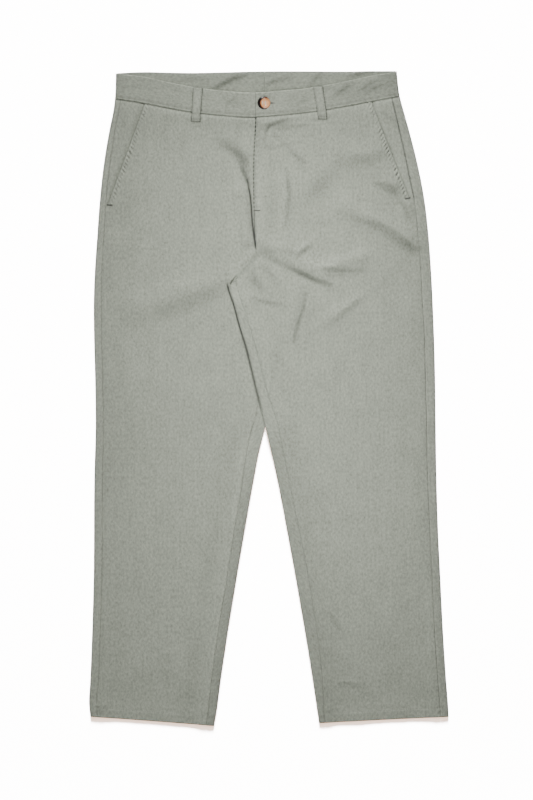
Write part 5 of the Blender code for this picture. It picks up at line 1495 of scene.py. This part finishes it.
def pocket_tack(leg):
    """The bar tack at the pocket's lower end."""
    middle = (pocket_tack_x(leg), leg.pocket_end.y)
    tack = bar_tack(leg, middle, (1.0, 0.3 * leg.side), 8.5, 1.7)
    return threads("sewing_tack_" + leg.name, *tack)


def fly_tack():
    """The short bar tack beside the fly."""
    tack = bar_tack(LEFT, (fly_tack_x(), FLY_TACK_Y), (1.0, 0.0), 7.5, 1.6)
    return threads("sewing_tack_fly", *tack)


def fly_sewing():
    y = np.linspace(437.0, FLY_END_Y + 52.0, 120)
    x = front_rise(y) + 2.2
    row = sew(on_front(LEFT, x, y))
    y = np.linspace(288.0, 234.0, 40)
    lower = sew(on_front(LEFT, front_rise(y) + 1.6, y))
    return threads("sewing_fly", *gathered(row, lower))


def hem_sewing(leg):
    low_x, high_x = sorted((float(inseam_x(leg, leg.hem_row)), float(outseam_x(leg, leg.hem_row))))
    x = np.linspace(low_x + 1.0, high_x - 1.0, 150)
    y = leg.hem_row + HEM_DEPTH + leg.hem_slope * (x - hem_middle(leg))
    return threads("sewing_hem_" + leg.name, *sew(on_front(leg, x, y)))


def loop_sewing(place):
    part = np.linspace(0.03, 0.95, 60)
    rows = []
    for sideways in (-LOOP_STITCH, LOOP_STITCH):
        x, y, _, top = loop_surface(place, part, sideways + 0.0 * part)
        rows.append(sew(np.column_stack([x, y, top + LOOP_STITCH_LIFT]), 2.2, 0.6))
    sideways = np.linspace(-LOOP_STITCH, LOOP_STITCH, 20)
    x, y, _, top = loop_surface(place, 0.932 + 0.0 * sideways, sideways)
    rows.append(sew(np.column_stack([x, y, top + LOOP_BAR_LIFT]), 1.6, 0.3))
    return threads("sewing_" + place.name, *gathered(*rows))


def buttonhole_sewing():
    """Close stitches round the buttonhole, which reaches out from under the button."""
    starts, ends = [], []
    for x in np.arange(BUTTONHOLE_START_X, BUTTONHOLE_END_X, BUTTONHOLE_SPACING):
        for side in (-1.0, 1.0):
            starts.append((x, BUTTON_Y + side * 0.45))
            ends.append((x + 0.1, BUTTON_Y + side * 2.0))
    for angle in BUTTONHOLE_FAN:
        starts.append((BUTTONHOLE_END_X + 0.4 * math.cos(angle), BUTTON_Y + 0.45 * math.sin(angle)))
        ends.append((BUTTONHOLE_END_X + 2.1 * math.cos(angle), BUTTON_Y + 2.0 * math.sin(angle)))
    on_band = [np.column_stack([x, y, band_top(x, y) + BUTTONHOLE_LIFT])
               for x, y in (np.transpose(starts), np.transpose(ends))]
    return threads("sewing_buttonhole", *on_band, BUTTONHOLE_THREAD)


def band_top(x, y):
    return ground(LEFT, x, y) + fine_band_level(LEFT, x, y)


def buttonhole_slit():
    """The buttonhole's slit as painted shade: a dark thin lens that lies on the band."""
    along = np.linspace(0.0, 1.0, 14)[:, None]
    sideways = np.array([-1.0, -0.4, 0.4, 1.0])[None, :]
    x = BUTTONHOLE_START_X + (BUTTONHOLE_END_X - BUTTONHOLE_START_X) * along + 0.0 * sideways
    y = BUTTON_Y + sideways * SLIT_HALF * np.sqrt(np.clip(1.0 - (2.0 * along - 1.0) ** 8, 0.02, 1.0))
    top = band_top(x, y) + 0.10
    return shell("buttonhole_slit", stack(x, y, top), stack(x, y, top - 0.3), stack(x, y))


# --- Button --------------------------------------------------------------------------------------
Turn = namedtuple("Turn", "radius height")
BUTTON_PROFILE = table(
    Turn,
    (0.0, 0.0), (8.2, 0.0), (9.3, 0.35), (9.85, 0.95), (10.0, 1.7), (9.9, 2.4), (9.6, 3.0),
    (9.1, 3.4), (8.5, 3.6), (7.9, 3.5), (7.4, 3.2), (7.0, 2.75), (6.6, 2.5), (6.0, 2.4),
    (4.0, 2.36), (2.0, 2.34), (0.0, 2.34),
)
HOLE_PROFILE = table(
    Turn,
    (0.0, -1.0), (1.0, -1.0), (1.0, 2.0), (1.25, 2.6), (1.25, 5.0), (0.0, 5.0),
)
BUTTON_TURNS = 96
HOLE_TURNS = 24
BUTTON_SMOOTH = 50.0
HOLE_COUNT = 4
STRAND_OFFSETS = (-0.55, -0.2, 0.2, 0.55)       # a bar's strands, from its middle
STRAND_RISES = (0.0, 0.22, 0.22, 0.0)
STRAND_CROWDING = 0.7  # they lie closer together at their second end
STRAND_HEIGHT = 2.55   # over the button's lower side
STRAND_RADIUS = 0.36


def button_height():
    return float(ground(LEFT, BUTTON_X, BUTTON_Y) + band_level(LEFT, BUTTON_X)) + SEAM


def lathe(profile, centre, segments):
    """Points and triangles of a turned shape; its profile starts and ends on the axis."""
    angles = 2.0 * math.pi * np.arange(segments) / segments
    rings = profile[1:-1]
    points = [np.array([[0.0, 0.0, profile[0].height]])]
    for ring in rings:
        x, y = ring.radius * np.cos(angles), ring.radius * np.sin(angles)
        points.append(stack(x, y, ring.height))
    points.append(np.array([[0.0, 0.0, profile[-1].height]]))
    points = np.concatenate(points) + centre
    k = np.arange(segments)
    after = (k + 1) % segments
    faces = [np.stack([np.zeros_like(k), 1 + after, 1 + k], axis=1)]
    for r in range(len(rings) - 1):
        a, b = 1 + r * segments + k, 1 + r * segments + after
        c, d = b + segments, a + segments
        faces += [np.stack([a, b, c], axis=1), np.stack([a, c, d], axis=1)]
    last = 1 + (len(rings) - 1) * segments
    faces.append(np.stack([last + k, last + after, np.full_like(k, len(points) - 1)], axis=1))
    return points, np.concatenate(faces)


def fine_button():
    centre = np.array([BUTTON_X, BUTTON_Y, button_height()])
    points, faces = lathe(BUTTON_PROFILE, centre, BUTTON_TURNS)
    maps = (points[:, :2] - centre[:2]) / BUTTON_RADIUS / MM
    button = mesh_object("turned_button", points, faces, maps, BUTTON_SMOOTH)
    reach = BUTTON_HOLE_SPACING / math.sqrt(2.0)
    for k in range(HOLE_COUNT):
        turn = math.pi / 4.0 + k * math.pi / 2.0
        place = centre + np.array([reach * math.cos(turn), reach * math.sin(turn), 0.0])
        points, faces = lathe(HOLE_PROFILE, place, HOLE_TURNS)
        rod = mesh_object("hole_rod", points, faces, 0.0 * points[:, :2])
        cut = button.modifiers.new("hole", "BOOLEAN")
        cut.operation = "DIFFERENCE"
        cut.solver = "EXACT"
        cut.object = rod
        evaluated = button.evaluated_get(bpy.context.evaluated_depsgraph_get())
        with_hole = bpy.data.meshes.new_from_object(evaluated)
        button.modifiers.clear()
        button.data = with_hole
        bpy.data.objects.remove(rod)
    return button


def button_thread():
    """Two bars of thread, each of a few strands, through the button's holes."""
    starts, ends = [], []
    half = BUTTON_HOLE_SPACING / 2.0
    height = button_height() + STRAND_HEIGHT
    for x in (-half, half):
        for offset, rise in zip(STRAND_OFFSETS, STRAND_RISES):
            second = x + offset * STRAND_CROWDING
            starts.append((BUTTON_X + x + offset, BUTTON_Y - half - 0.5, height + rise))
            ends.append((BUTTON_X + second, BUTTON_Y + half + 0.5, height + rise))
    return threads("button_thread", starts, ends, STRAND_RADIUS)


# --- Materials -----------------------------------------------------------------------------------
WALE_PITCH = 0.00145   # these sizes and those of the patterns below are in metres
WALE_DEPTH = 0.00030
# Painted shade in the grooves between the wales, as a part of the colour.
WALE_SHADE = 0.10
WAVER = 0.0011         # how far the wales stray sideways
STRAND_DEPTH = 0.0001
CORD_TINT = (0.373, 0.402, 0.325)
# Near black: the bar tacks' thread colour, darkened by the painted shade of the grooves they pull in.
TACK_TINT_WITH_SHADE = (0.085, 0.09, 0.075)
THREAD_TINT = (0.25, 0.262, 0.222)
BUTTON_THREAD_TINT = (0.70, 0.62, 0.48)
DARK_TINT = (0.05, 0.052, 0.046)
HORN_CENTRE = (0.26, -0.03, 0.0)        # of the button's light middle, in parts of its radius
HORN_STOPS = (
    (0.0, (0.96, 0.56, 0.30)),
    (0.45, (0.84, 0.42, 0.19)),
    (0.72, (0.70, 0.31, 0.13)),
    (0.82, (0.16, 0.05, 0.02)),
    (0.92, (0.010, 0.007, 0.006)),
)


def new_material(name):
    material = bpy.data.materials.new(name)
    material.use_nodes = True
    return material, material.node_tree, material.node_tree.nodes["Principled BSDF"]


def feed(tree, socket, value):
    """Links an output to a socket, or sets the socket to a constant."""
    if isinstance(value, bpy.types.NodeSocket):
        tree.links.new(value, socket)
    else:
        socket.default_value = value


def set_inputs(shader, values):
    for name, value in values.items():
        shader.inputs[name].default_value = value


def calculated(tree, kind, operation, *values):
    """A Math or VectorMath node on values or outputs of other nodes."""
    node = tree.nodes.new("ShaderNode" + kind)
    node.operation = operation
    for socket, value in zip(node.inputs, values):
        feed(tree, socket, value)
    return node


def math_node(tree, operation, *values):
    return calculated(tree, "Math", operation, *values).outputs[0]


def wale_map(tree):
    """The map that every mesh has: across and along its wales, or its strands."""
    maps = tree.nodes.new("ShaderNodeUVMap")
    maps.uv_map = "wales"
    return maps.outputs[0]


def patterned(tree, vector, cell_u, cell_v, detail=1.0):
    """Noise of the given cell size in metres, about 0 and from -0.5 to 0.5."""
    scaled = calculated(tree, "VectorMath", "MULTIPLY", vector, (1.0 / cell_u, 1.0 / cell_v, 1.0))
    texture = tree.nodes.new("ShaderNodeTexNoise")
    texture.noise_dimensions = "2D"
    set_inputs(texture, {"Scale": 1.0, "Detail": detail})
    tree.links.new(scaled.outputs[0], texture.inputs["Vector"])
    return math_node(tree, "SUBTRACT", texture.outputs[0], 0.5)


def weighted(tree, terms, start):
    total = start
    for value, weight in terms:
        part = math_node(tree, "MULTIPLY", value, weight)
        total = math_node(tree, "ADD", part, total)
    return total


def shaded_colour(tree, colour, shade, shader):
    scaled = calculated(tree, "VectorMath", "SCALE", colour)
    tree.links.new(shade, scaled.inputs["Scale"])
    tree.links.new(scaled.outputs[0], shader.inputs["Base Color"])


def relief_normal(tree, height, depth, strength, shader):
    relief_node = tree.nodes.new("ShaderNodeBump")
    set_inputs(relief_node, {"Distance": depth, "Strength": strength})
    tree.links.new(height, relief_node.inputs["Height"])
    tree.links.new(relief_node.outputs[0], shader.inputs["Normal"])


def corduroy_material(name, colour):
    """Fine corduroy: wales along the map's second axis, with a short brushed nap."""
    material, tree, shader = new_material(name)
    vector = wale_map(tree)
    apart = tree.nodes.new("ShaderNodeSeparateXYZ")
    tree.links.new(vector, apart.inputs[0])
    waver = math_node(tree, "MULTIPLY", patterned(tree, vector, 0.025, 0.070), WAVER)
    across_wales = math_node(tree, "ADD", apart.outputs[0], waver)
    turns = math_node(tree, "MULTIPLY", across_wales, 2.0 * math.pi / WALE_PITCH)
    wale = math_node(tree, "MULTIPLY", math_node(tree, "COSINE", turns), 0.5)
    nap = patterned(tree, vector, 0.0011, 0.0030, 2.0)
    mottle = patterned(tree, vector, 0.0034, 0.0050)
    streak = patterned(tree, vector, 0.0050, 0.120)
    cloud = patterned(tree, vector, 0.022, 0.034, 2.0)
    # Painted shade in the wales' grooves, and the cloth's own uneven tone: nap, mottle, streaks and
    # clouds.
    terms = ((wale, WALE_SHADE), (nap, 0.50), (mottle, 0.62), (streak, 0.12), (cloud, 0.18))
    shade = weighted(tree, terms, 1.0)
    # Painted shade from the mesh attribute "shade", and painted light where it is negative, is taken
    # off the colour.
    painted_shade_input = tree.nodes.new("ShaderNodeAttribute")
    painted_shade_input.attribute_name = "shade"
    lit = math_node(tree, "SUBTRACT", 1.0, painted_shade_input.outputs["Fac"])
    shaded_colour(tree, colour, math_node(tree, "MULTIPLY", shade, lit), shader)
    set_inputs(shader, {"Roughness": 0.92, "Specular IOR Level": 0.25, "Sheen Weight": 0.30,
                        "Sheen Roughness": 0.55})
    height = weighted(tree, ((wale, 1.0), (nap, 0.9), (mottle, 0.5)), 0.5)
    relief_normal(tree, height, WALE_DEPTH, 0.85, shader)
    return material


def thread_material(name, colour):
    """Twisted thread: fine slanting strands."""
    material, tree, shader = new_material(name)
    strands = patterned(tree, wale_map(tree), 0.00018, 0.0005)
    shaded_colour(tree, colour, weighted(tree, ((strands, 0.5),), 1.0), shader)
    set_inputs(shader, {"Roughness": 0.6, "Sheen Weight": 0.15})
    relief_normal(tree, strands, STRAND_DEPTH, 1.0, shader)
    return material


def button_material():
    """Polished horn-like button: light tan in the middle, nearly black round its rim."""
    material, tree, shader = new_material("horn_button")
    vector = wale_map(tree)
    shifted = calculated(tree, "VectorMath", "SUBTRACT", vector, HORN_CENTRE)
    length = calculated(tree, "VectorMath", "LENGTH", shifted.outputs[0])
    swirl = patterned(tree, vector, 0.22, 0.5, 3.0)
    strayed = math_node(tree, "MULTIPLY", swirl, 0.16)
    radius = math_node(tree, "ADD", length.outputs["Value"], strayed)
    ramp = tree.nodes.new("ShaderNodeValToRGB")
    tree.links.new(radius, ramp.inputs[0])
    while len(ramp.color_ramp.elements) < len(HORN_STOPS):
        ramp.color_ramp.elements.new(1.0)
    for element, (place, colour) in zip(ramp.color_ramp.elements, HORN_STOPS):
        element.position = place
        element.color = (*colour, 1.0)
    grain = weighted(tree, ((swirl, 0.9),), 1.0)
    shaded_colour(tree, ramp.outputs[0], grain, shader)
    set_inputs(shader, {"Roughness": 0.28, "Coat Weight": 0.35, "Coat Roughness": 0.12})
    return material


def dark_material():
    """Painted shade: a dark colour for the inside of the buttonhole."""
    material, tree, shader = new_material("shade")
    grain = patterned(tree, wale_map(tree), 0.0006, 0.0006)
    shaded_colour(tree, DARK_TINT, weighted(tree, ((grain, 0.5),), 1.0), shader)
    set_inputs(shader, {"Roughness": 1.0})
    return material


# --- Room ----------------------------------------------------------------------------------------
# The room's sizes are in metres.
FLOOR_TINT = (0.86, 0.875, 0.885)
FLOOR_GLOW_TINT = (1.0, 0.70, 0.52)
FLOOR_GLOW = 1.9       # what a shadow on the floor still gives back, a little warm
FLOOR_HALF = 6.0
FLOOR_LEVEL = -0.0003


def floor_material():
    material, _, shader = new_material("pale_floor")
    set_inputs(shader, {"Base Color": (*FLOOR_TINT, 1.0), "Roughness": 1.0, "Specular IOR Level": 0.0,
                        "Emission Color": (*FLOOR_GLOW_TINT, 1.0), "Emission Strength": FLOOR_GLOW})
    return material


def make_floor():
    mesh = bpy.data.meshes.new("floor")
    corners = ((-1, -1), (1, -1), (1, 1), (-1, 1))
    points = [(x * FLOOR_HALF, y * FLOOR_HALF, FLOOR_LEVEL) for x, y in corners]
    mesh.from_pydata(points, [], [(0, 1, 2, 3)])
    floor = bpy.data.objects.new("floor", mesh)
    bpy.context.scene.collection.objects.link(floor)
    mesh.materials.append(floor_material())
    floor.visible_diffuse = False
    floor.visible_glossy = False
    return floor


# The floor is lit far brighter than the cloth, by a light of its own that casts the soft shadow
# below the hems.
FLOOR_LIGHT = 95.0
FLOOR_LIGHT_TINT = (1.0, 0.995, 0.99)
FLOOR_LIGHT_RISE = math.radians(28.0)
FLOOR_LIGHT_SOFTNESS = math.radians(16.0)


def light_floor(floor):
    data = bpy.data.lights.new("floor_light", "SUN")
    data.energy = FLOOR_LIGHT
    data.angle = FLOOR_LIGHT_SOFTNESS
    data.color = FLOOR_LIGHT_TINT
    light = bpy.data.objects.new("floor_light", data)
    light.rotation_euler = (-(math.pi / 2.0 - FLOOR_LIGHT_RISE), 0.0, 0.0)
    bpy.context.scene.collection.objects.link(light)
    only = bpy.data.collections.new("floor_only")
    only.objects.link(floor)
    light.light_linking.receiver_collection = only


CAMERA_LENS = 85.0
CAMERA_SENSOR = 36.0
FRAME_LONG_SIDE = 1.240
CLOTH_MID_HEIGHT = 0.005
CAMERA_X = -3.7        # these two in millimetres
CAMERA_Y = -2.0
CAMERA_CLIP = 50.0


def make_camera():
    data = bpy.data.cameras.new("camera")
    data.lens = CAMERA_LENS
    data.sensor_width = CAMERA_SENSOR
    data.clip_end = CAMERA_CLIP
    camera = bpy.data.objects.new("camera", data)
    distance = FRAME_LONG_SIDE * CAMERA_LENS / CAMERA_SENSOR + CLOTH_MID_HEIGHT
    camera.location = ((CAMERA_X + SHIFT[0]) * MM, (CAMERA_Y + SHIFT[1]) * MM, distance)
    bpy.context.scene.collection.objects.link(camera)
    bpy.context.scene.camera = camera


Lamp = namedtuple("Lamp", "name x y z aim_x aim_y width length power")
LAMPS = (
    Lamp("key", -0.75, 3.6, 2.0, 0.0, 0.10, 0.9, 0.9, 185.0),
    Lamp("middle", 0.02, -0.10, 0.5, 0.02, -0.10, 0.15, 0.50, 2.25),
    Lamp("hips", 0.04, 0.33, 0.3, 0.04, 0.33, 0.15, 0.08, 0.46),
    Lamp("front", 0.0, -3.2, 0.75, 0.0, -0.3, 1.6, 0.8, 9.0),
)
WORLD_COLOUR = (1.0, 1.0, 1.0)
WORLD_STRENGTH = 0.03


def make_lights(blockers):
    """All lamps; the key light's shadows come from the blockers alone."""
    only = bpy.data.collections.new("key_blockers")
    for piece in blockers:
        only.objects.link(piece)
    for lamp in LAMPS:
        data = bpy.data.lights.new(lamp.name, "AREA")
        data.shape = "RECTANGLE"
        data.size = lamp.width
        data.size_y = lamp.length
        data.energy = lamp.power
        light = bpy.data.objects.new(lamp.name, data)
        light.location = (lamp.x, lamp.y, lamp.z)
        aim = np.array([lamp.aim_x - lamp.x, lamp.aim_y - lamp.y, -lamp.z])
        light.rotation_mode = "QUATERNION"
        light.rotation_quaternion = Vector(aim).to_track_quat("-Z", "Y")
        light.visible_camera = False
        if lamp.name == "key":
            light.light_linking.blocker_collection = only
        bpy.context.scene.collection.objects.link(light)
    world = bpy.data.worlds.new("studio")
    world.use_nodes = True
    background = world.node_tree.nodes["Background"]
    background.inputs["Color"].default_value = (*WORLD_COLOUR, 1.0)
    background.inputs["Strength"].default_value = WORLD_STRENGTH
    bpy.context.scene.world = world


# --- All pieces ----------------------------------------------------------------------------------
# The size each piece was cut to, in metres: across, along, and its area.
Cut = namedtuple("Cut", "node width length area rests_on")
CUTS = (
    Cut("front_left", 0.300, 0.960, 0.205, ("back_left",)),
    Cut("front_right", 0.270, 0.960, 0.195, ("back_right",)),
    Cut("back_left", 0.340, 0.975, 0.250, ("floor",)),
    Cut("back_right", 0.340, 0.975, 0.230, ("floor",)),
    Cut("waistband_left", 0.420, 0.040, 0.0165, ("back_left",)),
    Cut("waistband_right", 0.480, 0.040, 0.019, ("back_right",)),
    Cut("hip_facing_left", 0.050, 0.155, 0.005, ("back_left",)),
    Cut("hip_facing_right", 0.060, 0.160, 0.006, ("back_right",)),
    Cut("belt_loop_front_left", 0.0135, 0.050, None, ("waistband_left",)),
    Cut("belt_loop_front_right", 0.0135, 0.052, None, ("waistband_right",)),
    Cut("belt_loop_back_left", 0.0135, 0.053, None, ("floor",)),
    Cut("belt_loop_back_centre", 0.0135, 0.053, None, ("floor",)),
    Cut("belt_loop_back_right", 0.0135, 0.053, None, ("floor",)),
)


def main():
    cloth = corduroy_material("corduroy", CORD_TINT)
    made = {}
    for leg in LEGS:
        made["back_" + leg.name] = fine_back_piece(leg)
        made["hip_facing_" + leg.name] = fine_facing(leg)
        made["front_" + leg.name] = fine_front_piece(leg)
        made["waistband_" + leg.name] = fine_waistband(leg)
    for place in FRONT_LOOPS:
        made[place.name] = fine_front_loop(place)
    for place in BACK_LOOPS:
        made[place.name] = fine_back_loop(place)
    for node, piece in made.items():
        piece.data.materials.append(cloth)
        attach(piece, "root")
        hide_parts(node)
    sewing = {"front_left": [fly_sewing()], "front_right": [], "waistband_left": []}
    for leg in LEGS:
        sewing["front_" + leg.name] += [pocket_sewing(leg), hem_sewing(leg)]
    for place in FRONT_LOOPS:
        sewing[place.name] = [loop_sewing(place)]
    thread = thread_material("thread", THREAD_TINT)
    for pieces in sewing.values():
        for piece in pieces:
            piece.data.materials.append(thread)
    tack_thread = thread_material("tack_thread", TACK_TINT_WITH_SHADE)
    tacks = {"front_left": [pocket_tack(LEFT), fly_tack()], "front_right": [pocket_tack(RIGHT)]}
    for node, pieces in tacks.items():
        for piece in pieces:
            piece.data.materials.append(tack_thread)
        sewing[node] += pieces
    hole = buttonhole_sewing()
    hole.data.materials.append(thread)
    slit = buttonhole_slit()
    slit.data.materials.append(dark_material())
    sewing["waistband_left"] += [hole, slit]
    for pieces in sewing.values():
        for piece in pieces:
            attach(piece, "root")
    button = fine_button()
    button.data.materials.append(button_material())
    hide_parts("button")
    strands = button_thread()
    strands.data.materials.append(thread_material("button_thread", BUTTON_THREAD_TINT))
    for piece in (button, strands):
        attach(piece, "root")
    for cut in CUTS:
        [made[name] if name in made else name for name in cut.rests_on]
        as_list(sewing.get(cut.node, []))
    light_floor(make_floor())
    make_camera()
    make_lights([piece for node, piece in made.items() if not node.startswith("belt_loop")])


low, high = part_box("button")
middle = (np.array(low) + np.array(high)) / 2.0 / MM
SHIFT = np.array([middle[0] - BUTTON_X, middle[1] - BUTTON_Y, 0.0])
main()
